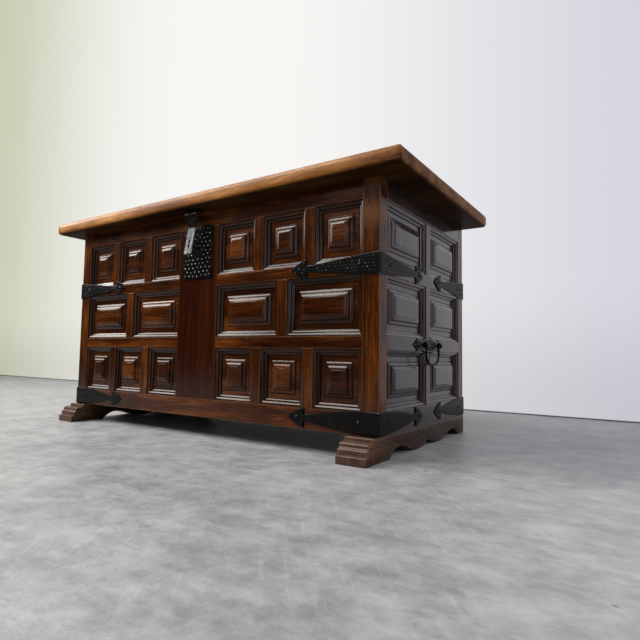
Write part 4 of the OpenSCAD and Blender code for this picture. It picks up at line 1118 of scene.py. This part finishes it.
@dataclass
class Nails:
    """Forged nails with many-sided heads: domed ones, and flat ones where they face up or down."""

    case: Case
    finishes: Finishes
    case_radius: float = 5.2
    lid_radius: float = 4.4
    rose_height: float = 3.0
    flat_height: float = 1.5

    def build(self) -> None:
        """Sets the heads of the case's nails and of the lid's."""
        for body, radius in (("case", self.case_radius), ("lid", self.lid_radius)):
            node = f"{body}_nails"
            heads, out = nail_places(node, self.case)
            level_face = np.abs(out[:, 2]) > 0.5
            up = np.where(level_face[:, None], [[1.0, 0.0, 0.0]], [[0.0, 0.0, 1.0]])
            height = np.where(level_face, self.flat_height, self.rose_height)
            for level in np.unique(height):
                chosen = height == level
                shape = Shape()
                stud = Stud(radius=radius, height=float(level), sides=8, shoulder=0.6, shoulder_at=0.5)
                stud.add_to(shape, heads[chosen] - out[chosen] * level, out[chosen], 300 + int(level), 0.45,
                            up[chosen])
                kind = "flat" if level == self.flat_height else "rose"
                shape.build(f"{node}_{kind}_heads", body, "black_iron", self.finishes.black, [node])


class Bosses(Enum):
    """How a strap's face is worked."""

    HAMMERED = "hammered"
    PUNCHED = "punched"


@dataclass
class CornerStraps:
    """Corner straps with two legs that taper to a neck and end in a spade with an ear each side."""

    case: Case
    finishes: Finishes
    thickness: float = 3.0
    length: float = 230.0
    height: float = 50.0
    neck_from: float = 172.0
    neck: float = 8.0
    ear_at: float = 198.0
    ear_half: float = 23.0
    hook: float = 9.0
    hook_span: Pair = (188.0, 216.0)
    hook_from: float = 14.0
    hook_over: float = 9.0
    bells: Pair = (1.2, 2.2)
    nails_at: Pair = (46.0, 207.0)
    nail_clear: float = 8.0

    def half_height(self, s: Array, bell: float) -> Array:
        """Half the strap's height at a distance from the corner: a bell, a neck, ears and a point."""
        body = self.height / 2 - (self.height / 2 - self.neck) * np.clip(s / self.neck_from, 0, 1) ** bell
        head_s = [self.ear_at - 9.0, self.ear_at - 7.0, self.ear_at - 4.5, self.ear_at, self.ear_at + 4.0,
                  self.length - 10.0, self.length - 4.0, self.length]
        head_h = [self.neck, 17.5, 21.8, self.ear_half, 21.0, 9.6, 5.2, 0.8]
        return np.where(s < head_s[0], np.maximum(body, self.neck), np.interp(s, head_s, head_h))

    def stations(self) -> tuple[Array, Array]:
        """Distances from the corner, negative on the first leg, and the turn at each, 0 to 1."""
        head = [188.5, 189.0, 190.0, 191.0, 192.0, 193.5, 195.5, 198.0, 200.0,
                202.0, 206.0, 211.0, 216.0, 220.0, 223.0, 226.0, 228.5, self.length]
        leg = np.concatenate([np.arange(4.0, 188.0, 6.0), head])
        s = np.concatenate([-leg[::-1], np.zeros(5), leg])
        turn = np.concatenate([np.zeros(len(leg)), np.linspace(0, 1, 5), np.ones(len(leg))])
        return s, turn

    def strap(self, shape: Shape, x_side: int, y_side: int, level: float, bell: float, seed: int) -> None:
        """One strap, its section carried round the corner.

        Across, the section is a flat face with a rounded rim and a flat back. Its half height comes
        from half_height, and near the ears the rim slides back towards the corner.
        """
        s, turn = self.stations()
        far = np.abs(s)
        t = mirrored(0.28, 0.55, 0.8, 0.92, 0.975, 1.0, 1.0)
        rim = np.array([0.0, 1.9, 2.7, *[self.thickness] * 9, 2.7, 1.9, 0.0])
        half = self.half_height(far, bell) * (1 - 0.02 * soft_steps(s, seed, 60.0))
        height = half[:, None] * t[None, :]
        lean = self.hook * np.clip((np.abs(height) - self.hook_from) / self.hook_over, 0, 1) ** 1.6
        lean *= ((far > self.hook_span[0]) & (far < self.hook_span[1]))[:, None]
        reach = np.clip(far[:, None] - lean, 0, None)
        out = np.broadcast_to(rim, reach.shape)
        corner = np.array([self.case.high[0] if x_side > 0 else self.case.low[0],
                           self.case.high[1] if y_side > 0 else self.case.low[1]])
        first = (s < 0) | ((s == 0) & (turn < 0.5))
        angle = turn * np.pi / 2
        normal = np.stack([np.sin(angle) * x_side, np.cos(angle) * y_side], -1)
        way = np.where(first[:, None], np.array([[-x_side, 0.0]]), np.array([[0.0, -y_side]]))
        plan = corner + way[:, None, :] * reach[..., None] + normal[:, None, :] * out[..., None]
        points = np.concatenate([plan, (level + height)[..., None]], -1)
        wear = np.interp(rim, [0, 1.9, 2.7, 3.0], [0.1, 0.3, 0.4, 0.05])[None, :] + 0.2 * (far < 4)[:, None]
        shape.tube(points, points, wear)

    def bosses(self, shape: Shape, wall: Wall, from_low: bool, level: float, seed: int) -> None:
        """Small punched bosses in staggered rows over one leg, inside its outline."""
        rng = np.random.default_rng(seed)
        s, h = np.meshgrid(np.arange(9.0, 222.0, 9.5), np.arange(-22.0, 23.0, 7.5))
        s = s + (np.arange(h.shape[0])[:, None] % 2) * 4.0 + rng.uniform(-0.9, 0.9, s.shape)
        h = h + rng.uniform(-0.9, 0.9, h.shape)
        s, h = s.ravel(), h.ravel()
        inside = np.abs(h) < self.half_height(s, self.bells[0]) - 3.2
        for nail in self.nails_at:
            inside &= np.hypot(s - nail, h) > self.nail_clear
        s, h = s[inside], h[inside]
        along = self.case.low[wall.axis] + s if from_low else self.case.high[wall.axis] - s
        feet = self.case.place(wall, along, -self.thickness, level + h)
        out = self.case.place(wall, 0.0, -1.0, 0.0) - self.case.place(wall, 0.0, 0.0, 0.0)
        stud = Stud(radius=2.0, height=1.2, sides=5, shoulder=0.6, shoulder_at=0.7)
        stud.add_to(shape, feet, out, seed, 0.7)

    def build(self) -> None:
        """Builds the four upper and the four lower straps."""
        for number, (name, style) in enumerate((("upper", Bosses.PUNCHED), ("lower", Bosses.HAMMERED))):
            node = f"corner_straps_{name}"
            low, high = extent(node)
            level = (low[2] + high[2]) / 2
            shape = Shape()
            for x_side in (-1, 1):
                for y_side in (-1, 1):
                    self.strap(shape, x_side, y_side, level, self.bells[number],
                               320 + 4 * number + x_side + y_side)
            shape.build(f"{node}_forged", "case", "black_iron", self.finishes.black, [node], crease=40.0)
            if style is Bosses.PUNCHED:
                studs = Shape()
                for seed, wall in enumerate(Wall):
                    for from_low in (True, False):
                        self.bosses(studs, wall, from_low, level, 340 + 2 * seed + from_low)
                studs.build(f"{node}_bosses", "case", "black_iron", self.finishes.black)


@dataclass
class Lock:
    """The bossed lock plate, with the hasp's leaf and pin and the staple in the frame's own shape."""

    case: Case
    finishes: Finishes
    columns: int = 7
    rows: int = 12
    margin: float = 9.0
    wander: float = 1.9
    nail_clear: float = 8.5
    side_clear: float = 5.0
    rim_steps: int = 26
    rim_wander: float = 1.4
    bare_half: float = 15.5
    bare_from: float = 479.0
    bare_to: float = 499.0

    def plate(self) -> None:
        """A sheet whose rim wanders a little, with staggered bosses inside it.

        The sheet is made of nested rectangles, drawn in from its back over the rim to the flat
        face. No bosses stand where the end of the shut hasp comes down.
        """
        low, high = extent("lock_plate")
        u0, u1, z0, z1 = self.case.measure(Wall.FRONT, (low, high))
        inset = np.array([0.0, 0.0, 0.5, 1.4, 5.0, 20.0, 45.0])[:, None]
        depth = np.array([0.0, -2.0, -2.7, -3.0, -3.0, -3.0, -3.0])[:, None]
        rim = self.rim_wander * soft_steps(np.arange(4 * self.rim_steps) * 3.0, 360, 21.0)
        points = self.case.rings(Wall.FRONT, (u0, u1, z0, z1), inset + rim, depth, self.rim_steps)
        wear = np.array([0.1, 0.3, 0.4, 0.3, 0.0, 0.0, 0.0])[:, None]
        shape = Shape()
        shape.tube(points, points, wear)
        shape.build("lock_plate_forged", "case", "black_iron", self.finishes.lock, ["lock_plate"],
                    crease=40.0)

        rng = np.random.default_rng(361)
        pitch_u = (u1 - u0 - 2 * self.margin) / (self.columns - 1)
        pitch_z = (z1 - z0 - 2 * self.margin) / (self.rows - 1)
        column, row = np.meshgrid(np.arange(self.columns), np.arange(self.rows))
        u = u0 + self.margin + (column + 0.5 * (row % 2)) * pitch_u
        u = u + rng.uniform(-1, 1, column.shape) * self.wander
        z = z0 + self.margin + row * pitch_z + rng.uniform(-1, 1, row.shape) * self.wander
        u, z = u.ravel(), z.ravel()
        keep = (np.abs(u) > self.bare_half) | (z < self.bare_from) | (z > self.bare_to)
        keep &= u < u1 - self.side_clear
        for nail_u in (u0 + self.margin, u1 - self.margin):
            for nail_z in (z0 + self.margin, z1 - self.margin):
                keep &= np.hypot(u - nail_u, z - nail_z) > self.nail_clear
        feet = self.case.place(Wall.FRONT, u[keep], -3.0, z[keep])
        studs = Shape()
        stud = Stud(radius=2.1, height=1.8, shoulder=0.7, shoulder_wear=1.0)
        stud.add_to(studs, feet, np.array([0.0, -1.0, 0.0]), 362, 1.35)
        studs.build("lock_plate_bosses", "case", "black_iron", self.finishes.lock)

    def build(self) -> None:
        """Builds the plate and finishes the hasp's leaf, its pin and the staple."""
        self.plate()
        for node in ("hasp_leaf", "hasp_pin", "hasp_staple"):
            dress(node, self.finishes.black)


def dress(node: str, material: bpy.types.Material) -> None:
    """Gives a CAD node, which keeps its own shape, a finish."""
    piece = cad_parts[node]
    if not piece.material_slots:
        piece.data.materials.append(material)
    for place in piece.material_slots:
        place.material = material


def weld(points: Array, faces: Array) -> tuple[Array, Array]:
    """Makes points in the same place one.

    Args:
        points: rows of x, y, z in mm.
        faces: rows of indices into them.

    Returns:
        Which points are kept, and the faces on the kept ones.
    """
    _, keep, same = np.unique(points.round(3), axis=0, return_index=True, return_inverse=True)
    return keep, same.reshape(-1)[faces]


def dents(across: Array, along: Array, size: Pair, count: int, radius: float, seed: int) -> Array:
    """Hammer marks: the sum of round hollows of depth 1 at seeded places of a face.

    Args:
        across: first measure of each point.
        along: second measure of each point.
        size: how far the face reaches in both measures.
        count: number of blows.
        radius: how wide a hollow is.
        seed: for the places.

    Returns:
        How deep each point lies, at most 1.
    """
    rng = np.random.default_rng(seed)
    blows = rng.uniform(-0.5, 1.0, (count, 2)) * size
    blows[:, 0] = rng.uniform(-1.0, 1.0, count) * size[0]
    far = (across[..., None] - blows[:, 0]) ** 2 + (along[..., None] - blows[:, 1]) ** 2
    return np.exp(-far / radius**2).max(-1)


@dataclass
class Hasp:
    """The hasp: a barrel on its pin, and a hammered strap with a slot and a fishtail end.

    All its lengths are drops below the pin, and all widths are halves.
    """

    finishes: Finishes
    barrel_r: float = 3.9
    barrel_half: float = 8.0
    thickness: float = 3.1
    length: float = 110.0
    widths: tuple[Pair, ...] = (
        (2.5, 8.0), (5.4, 8.0), (6.2, 22.0), (7.2, 23.0), (9.5, 22.8), (13.0, 18.5), (19.0, 14.4),
        (24.0, 13.6), (70.0, 13.4), (96.0, 13.7), (103.0, 14.0))
    side: tuple[Pair, ...] = ((0.0, 0.0), (34.0, 5.0), (110.0, -9.0))
    bend: float = 4.0
    slot_drop: float = 82.0
    slot_half: float = 12.8
    slot_r: float = 3.4
    lobe_r: float = 7.0
    # Painted shade: the drop down to which the strap stays black, for the lid's shadow on it.
    painted_shade_until: float = 30.0

    def outer(self, drop: Array) -> Array:
        """Half the strap's width, with a round lobe at its end."""
        past = np.clip(drop - self.length + self.lobe_r, 0, self.lobe_r)
        sides = np.interp(drop, *np.transpose(self.widths)) * (1 - 0.03 * soft_steps(drop, 371, 26.0))
        return np.where(past > 0, self.lobe_r + np.sqrt(self.lobe_r**2 - past**2), sides)

    def inner(self, drop: Array) -> Array:
        """Half the width of what is open in the middle: the slot, and the notch between the lobes."""
        into = np.clip(np.abs(drop - self.slot_drop) - self.slot_half + self.slot_r, 0, self.slot_r)
        past = np.clip(drop - self.length + self.lobe_r, 0, self.lobe_r)
        return np.sqrt(self.slot_r**2 - into**2) + self.lobe_r - np.sqrt(self.lobe_r**2 - past**2)

    def strap(self, axis: Array) -> None:
        """The strap as a sheet of two half grids, joined wherever nothing is open between them.

        A row runs from the inner to the outer half width at its drop. The sheet follows the bend,
        and hammer marks push it in.
        """
        turn = np.radians(np.linspace(-90, 90, 15))
        drops = np.concatenate([
            [2.5, 4.0, 5.4, 6.2, 7.2, 9.5, 11.0], np.arange(13.0, 69.0, 2.0),
            self.slot_drop + self.slot_half * np.sin(turn), np.arange(95.5, 103.0, 1.8),
            self.length - self.lobe_r + self.lobe_r * np.sin(turn[8:-1])])
        share = np.array([0.0, 0.08, 0.24, 0.42, 0.6, 0.78, 0.92, 1.0])
        near, far = self.inner(drops)[:, None], self.outer(drops)[:, None]
        half = near + (far - near) * share
        drop = np.broadcast_to(drops[:, None], half.shape)
        profile = np.transpose(self.side)
        y = np.mean([np.interp(drop + shift, *profile) for shift in (-self.bend, 0.0, self.bend)], 0)
        # Painted shade: no wear above painted_shade_until, so the top stays black as in the lid's shadow;
        # below it the strap is worn bare.
        bright = np.clip((drop - self.painted_shade_until) / 6.0, 0, 1)
        wear = np.maximum(bright, 0.5 * (share > 0.95))
        points, wears, faces = [], [], []
        for number, side in enumerate((-1, 1)):
            x = side * half
            pushed = y + 0.5 * dents(x, drop, (14.0, 110.0), 70, 3.2, 372)
            points.append(np.stack([x, axis[1] + pushed, axis[2] - drop], -1).reshape(-1, 3))
            wears.append(wear.ravel())
            faces.append(grid_faces(*half.shape, round_columns=False) + number * half.size)
        places, worn = np.concatenate(points), np.concatenate(wears)
        keep, quads = weld(places, np.concatenate(faces))
        shape = Shape()
        shape.add(places[keep], quads, [], places[keep], worn[keep], 0.0)
        strap = shape.build("hasp_strap_forged", "hasp", "bright_iron", self.finishes.bright, ["hasp"],
                            crease=40.0)
        sheet = strap.modifiers.new("thickness", "SOLIDIFY")
        sheet.thickness, sheet.offset = self.thickness * MM, 0.0
        rim = strap.modifiers.new("rubbed_rim", "BEVEL")
        rim.width, rim.segments, rim.limit_method = 0.6 * MM, 2, "ANGLE"

    def barrel(self, axis: Array) -> None:
        """The barrel: a ring carried along the pin, a little thinner at both ends."""
        x = np.concatenate([[-1.0, -0.97], np.linspace(-0.9, 0.9, 9), [0.97, 1.0]]) * self.barrel_half
        ends = [0, 0.9 * self.barrel_half, self.barrel_half]
        radius = self.barrel_r * np.interp(np.abs(x), ends, [1, 1, 0.86])[:, None]
        angle = np.arange(20) * np.pi / 10
        y, z = axis[1] + radius * np.cos(angle), axis[2] + radius * np.sin(angle)
        points = np.stack([np.broadcast_to(x[:, None], y.shape), y, z], -1)
        shape = Shape()
        shape.tube(points, points, 0.5)
        shape.build("hasp_barrel_forged", "hasp", "bright_iron", self.finishes.bright, ["hasp"])

    def build(self) -> None:
        """Builds the strap and its barrel about the axis of the hasp's pin."""
        low, high = extent("hasp_pin")
        axis = (low + high) / 2
        self.strap(axis)
        self.barrel(axis)


@dataclass
class Handles:
    """The two drop handles: a chased plate, and a bail whose arms bow out a little."""

    case: Case
    finishes: Finishes
    thickness: float = 3.0
    outline: tuple[Pair, ...] = (
        (0.0, 20.5), (20.0, 20.5), (24.0, 19.6), (30.0, 17.2), (40.0, 14.6), (51.0, 13.1),
        (60.0, 14.0), (70.0, 15.6), (74.0, 14.6), (84.0, 7.4), (95.0, 0.4))
    bead_pitch: float = 8.0
    bead_w: float = 2.4
    border_at: float = 0.74
    border_w: float = 0.13
    leaf_pitch: float = 11.0
    leaf_level: float = 0.55
    rod: float = 3.2
    chasing: float = 1.2
    eye_r: float = 3.25
    drop: float = 48.0
    half_path: tuple[Pair, ...] = (
        (52.5, 0.0), (45.0, 0.0), (42.6, -0.6), (41.4, -2.4), (41.2, -6.0), (42.2, -14.0), (42.4, -22.0),
        (40.6, -31.0), (36.0, -39.0), (28.0, -45.2), (16.0, -47.8), (0.0, -48.0))

    def plate(self, wall: Wall) -> None:
        """A plate whose half height follows the outline, with a beaded line and a raised border.

        Across, the section goes from the wall over a rounded rim to the chased face and back.
        """
        name = f"handle_plate_{wall.value}"
        low, high = extent(name)
        centre = (low + high) / 2
        s = np.concatenate([np.linspace(-95.0, -86.0, 8), np.arange(-84.0, 85.0, 1.6),
                            np.linspace(86.0, 95.0, 8)])
        t = mirrored(0.14, 0.26, 0.44, 0.62, 0.74, 0.86, 0.96, 1, 1)
        half = np.interp(np.abs(s), *np.transpose(self.outline)) * (1 - 0.03 * soft_steps(s, 380, 18.0))
        height = half[:, None] * t
        bead = soft_lines(height, (1.0, 0.0, self.bead_w))
        bead = bead * np.abs(np.cos(np.pi * s / self.bead_pitch))[:, None] ** 0.7
        border = soft_lines(np.abs(t), (1.0, self.border_at, self.border_w))
        leaf = 0.5 + 0.5 * np.cos(2 * np.pi * (s[:, None] + 0.8 * np.abs(height)) / self.leaf_pitch)
        relief = np.maximum(bead, np.maximum(border, self.leaf_level * leaf * (np.abs(t) < 0.7)))
        out = (self.thickness - self.chasing) + self.chasing * relief
        out = out * np.array([0, 0.7, 0.95, *[1] * 13, 0.95, 0.7, 0])
        points = self.case.place(wall, centre[1] + s[:, None], -out, centre[2] + height)
        shape = Shape()
        shape.tube(points, points, 0.1 + 0.5 * relief)
        shape.build(f"{name}_chased", "case", "black_iron", self.finishes.black, [name], crease=50.0)

    def bail(self, side: str) -> None:
        """A round rod carried along the bail's path, thinner where its arms bend."""
        low, high = extent(f"handle_bail_{side}")
        axis = np.array([(low[0] + high[0]) / 2, (low[1] + high[1]) / 2, high[2] - self.eye_r])
        right = np.array(self.half_path)
        corners = np.concatenate([right * [-1, 1], right[-2::-1]])
        run = np.concatenate([[0], np.cumsum(np.linalg.norm(np.diff(corners, axis=0), axis=1))])
        stations = np.linspace(0, run[-1], 120)
        path = np.mean([np.stack([np.interp(stations + shift, run, corners[:, k]) for k in (0, 1)], -1)
                        for shift in (-1.5, 0.0, 1.5)], 0)
        way = np.gradient(path, axis=0)
        way /= np.linalg.norm(way, axis=1, keepdims=True)
        rod = self.rod * (0.84 + soft_lines(path[:, 1], (0.16, -self.drop, 9)) + 0.16 * (path[:, 1] > -1.0))
        angle = np.arange(14) * np.pi / 7
        across, deep = rod[:, None] * np.cos(angle), rod[:, None] * np.sin(angle)
        y = axis[1] + path[:, :1] - way[:, 1:] * across
        z = axis[2] + path[:, 1:] + way[:, :1] * across
        points = np.stack([axis[0] + deep, y, z], -1)
        shape = Shape()
        shape.tube(points, points, 0.1 + soft_lines(path[:, 1:], (0.25, -self.drop, 14)))
        shape.build(f"handle_bail_{side}_forged", f"bail_{side}", "black_iron", self.finishes.black,
                    [f"handle_bail_{side}"])

    def build(self) -> None:
        """Builds plates and bails and finishes the eyes."""
        for wall in (Wall.LEFT, Wall.RIGHT):
            self.plate(wall)
            self.bail(wall.value)
            dress(f"handle_eyes_{wall.value}", self.finishes.black)


@dataclass
class Hinges:
    """The lid's two hinges."""

    finishes: Finishes

    def build(self) -> None:
        """Finishes leaves and pins."""
        for node in ("hinge_case_leaves", "hinge_lid_leaves"):
            dress(node, self.finishes.black)
        dress("hinge_pins", self.finishes.bright)


# The room


@dataclass(frozen=True)
class Lamp:
    """A soft square lamp that is aimed at a point."""

    name: str
    place: Place
    aim: Place
    size: float
    power: float
    colour: Colour = (1.0, 1.0, 1.0)

    def build(self) -> None:
        """Makes the lamp."""
        light = bpy.data.lights.new(self.name, "AREA")
        light.shape = "SQUARE"
        light.size = self.size
        light.energy = self.power
        light.color = self.colour
        lamp = stand(self.name, light)
        lamp.location = self.place
        lamp.rotation_euler = (Vector(self.aim) - Vector(self.place)).to_track_quat("-Z", "Y").to_euler()


@dataclass
class Studio:
    """Camera, floor, wall and lights."""

    camera_place: Place = (1.023451, -1.181324, 0.219739)
    right: Place = (0.83217, 0.55429, 0.01612)
    up: Place = (0.02549, -0.06728, 0.99741)
    back: Place = (0.55393, -0.82960, -0.07012)
    lens: float = 28.05
    wall_y: float = 0.91
    reach: float = 9.0
    depth: float = 7.0
    height: float = 6.0
    lamps: tuple[Lamp, ...] = (
        Lamp("skylight_left", (-2.9, -0.65, 1.96), (-0.4, -0.25, 0.3), 0.7, 20.0),
        Lamp("skylight_middle", (-1.98, -0.81, 2.54), (0.0, -0.25, 0.3), 0.7, 28.0),
        Lamp("skylight_right", (-1.1, -0.88, 2.84), (0.45, -0.25, 0.3), 0.7, 32.0),
        Lamp("window_left", (-3.0, -1.4, 1.72), (-0.4, -0.25, 0.35), 0.85, 23.0, (1.0, 0.94, 0.88)),
        Lamp("window_middle", (-2.1, -1.68, 1.98), (0.0, -0.25, 0.35), 0.95, 42.0, (1.0, 0.94, 0.88)),
        Lamp("window_right", (-1.2, -2.05, 2.3), (0.45, -0.25, 0.35), 0.95, 50.0, (1.0, 0.94, 0.88)),
        Lamp("end_fill", (3.0, -0.45, 1.5), (0.5, 0.0, 0.3), 1.3, 38.0, (0.90, 0.94, 1.0)),
        Lamp("doorway", (1.7, -3.0, 0.85), (0.1, -0.25, 0.35), 0.7, 5.0, (0.80, 0.90, 1.0)),
        Lamp("far_wall", (0.2, -3.3, 0.8), (0.2, -0.25, 0.35), 1.4, 10.0, (0.78, 0.89, 1.0)),
        Lamp("high_window", (-1.1, -3.3, 1.8), (0.5, -0.25, 0.5), 0.9, 1.2, (0.85, 0.92, 1.0)),
    )

    def camera(self) -> None:
        """Stands the camera where the photograph was taken."""
        lens = bpy.data.cameras.new("photo_view")
        lens.lens = self.lens
        lens.sensor_width = 36.0
        camera = stand("photo_view", lens)
        turn = Matrix((self.right, self.up, self.back)).transposed().to_4x4()
        camera.matrix_world = Matrix.Translation(self.camera_place) @ turn
        bpy.context.scene.camera = camera

    def sheet(self, name: str, corners: Sequence[Place], material: bpy.types.Material) -> None:
        """One flat sheet of the stage."""
        mesh = bpy.data.meshes.new(name)
        mesh.from_pydata(list(corners), [], [list(range(len(corners)))])
        mesh.materials.append(material)
        sheet = stand(name, mesh)

    def floor_material(self) -> bpy.types.Material:
        """Pale trowelled concrete: clouds, crossing sweeps of the trowel, fine scratches and dark specks."""
        tree = Tree(bpy.data.materials.new("pale_concrete"))
        place = tree.place()
        clouds = tree.noise(place, 6.0, 0.62, 2.6)
        mottle = tree.noise(place, 7.0, 0.78, 15.0)
        sweeps = tree.noise(tree.vector("MULTIPLY", place, (16.0, 44.0, 1.0)), 5.0, 0.7)
        turned = tree.node("ShaderNodeVectorRotate", {"rotation_type": "Z_AXIS"},
                           {"Vector": place, "Angle": 0.9})
        scratches = tree.noise(tree.vector("MULTIPLY", turned.outputs[0], (7.0, 120.0, 1.0)), 3.0, 0.6)
        grit = tree.noise(place, 3.0, 0.6, 110.0)
        level = clouds.rise(0.32, 0.68) * 0.3 + mottle.rise(0.34, 0.66) * 0.42
        level = level + sweeps.rise(0.34, 0.66) * 0.22 + scratches.rise(0.56, 0.7) * 0.14
        level = (level + grit * 0.12 - 0.12).clamped()
        colour = tree.mix(level, shade(0.135, 0.136, 0.145), shade(0.34, 0.34, 0.335))
        specks = tree.noise(place, 2.0, 0.5, 30.0).rise(0.71, 0.76)
        colour = tree.mix(specks * 0.6, colour, shade(0.09, 0.088, 0.085))
        tree.surface(colour, 0.28 + mottle * 0.4, mottle + sweeps * 0.4 + grit * 0.05, 0.0016)
        return tree.owner

    def wall_material(self) -> bpy.types.Material:
        """White plaster that the camera and the gloss see as white, with painted shade that fades it to grey
        at both ends and darkens it towards the floor. A thin black line runs along its foot.

        From behind it isn't there at all, so that the chest's back can be looked at.
        """
        tree = Tree(bpy.data.materials.new("white_wall"))
        across, _, height = tree.parts(tree.place())
        # Painted shade: grey towards both ends and up to a sixth darker towards the floor; then a thin black
        # line along the foot.
        left, right = (across * -1.0).rise(1.4, 4.2), across.rise(-0.7, 1.6)
        colour = tree.mix(left, shade(0.93, 0.92, 0.90), shade(0.60, 0.61, 0.46))
        colour = tree.mix(right, colour, shade(0.61, 0.62, 0.70))
        low = 1 - (1 - height.rise(0.0, 0.55)) * 0.16
        colour = tree.mix(low * height.rise(0.001, 0.007), shade(0.0, 0.0, 0.0), colour)
        glow = tree.node("ShaderNodeEmission", {}, {"Color": colour, "Strength": 1.0})
        tree.constants(Base_Color=shade(0.78, 0.78, 0.78), Roughness=0.9)
        path = tree.node("ShaderNodeLightPath", {}, {})
        seen = Term(tree, path.outputs["Is Camera Ray"]).larger(Term(tree, path.outputs["Is Glossy Ray"]))
        seen = seen.larger(Term(tree, path.outputs["Is Transmission Ray"]))
        both = tree.node("ShaderNodeMixShader", {}, {0: seen, 1: tree.shader.outputs[0], 2: glow.outputs[0]})
        behind = tree.node("ShaderNodeNewGeometry", {}, {}).outputs["Backfacing"]
        clear = tree.node("ShaderNodeBsdfTransparent", {}, {})
        wall = tree.node("ShaderNodeMixShader", {}, {0: behind, 1: both.outputs[0], 2: clear.outputs[0]})
        tree.feed(tree.nodes["Material Output"].inputs["Surface"], wall.outputs[0])
        return tree.owner

    def world(self) -> None:
        """Soft light that is dim at eye level and pale overhead."""
        tree = Tree(bpy.data.worlds.new("soft_room"), "Background")
        _, _, height = tree.parts(tree.place("Generated"))
        tree.feed(tree.shader.inputs["Strength"], height.rise(0.15, 0.9, 0.035, 0.75))
        tree.constants(Color=shade(0.96, 0.98, 1.0))
        bpy.context.scene.world = tree.owner

    def build(self) -> None:
        """Builds the room."""
        self.camera()
        x, y, wall_y, z = self.reach, self.depth, self.wall_y, self.height
        self.sheet("floor", [(-x, -y, 0), (x, -y, 0), (x, y, 0), (-x, y, 0)], self.floor_material())
        self.sheet("wall", [(-x, wall_y, 0), (x, wall_y, 0), (x, wall_y, z), (-x, wall_y, z)],
                   self.wall_material())
        for lamp in self.lamps:
            lamp.build()
        self.world()
        bpy.context.scene.view_settings.view_transform = "Standard"


def main() -> None:
    """Builds the chest and its room in order."""
    logging.basicConfig(level=logging.INFO, format="%(message)s")
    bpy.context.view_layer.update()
    Studio().build()
    case = read_case()
    finishes = Finishes()
    CaseFrame(finishes).build()
    PanelWork(case, finishes).build()
    BackAndFloor(finishes).build()
    Feet(case, finishes).build()
    Lid(finishes).build()
    CornerStraps(case, finishes).build()
    Nails(case, finishes).build()
    Lock(case, finishes).build()
    Hasp(finishes).build()
    Handles(case, finishes).build()
    Hinges(finishes).build()


if __name__ == "__main__":
    main()
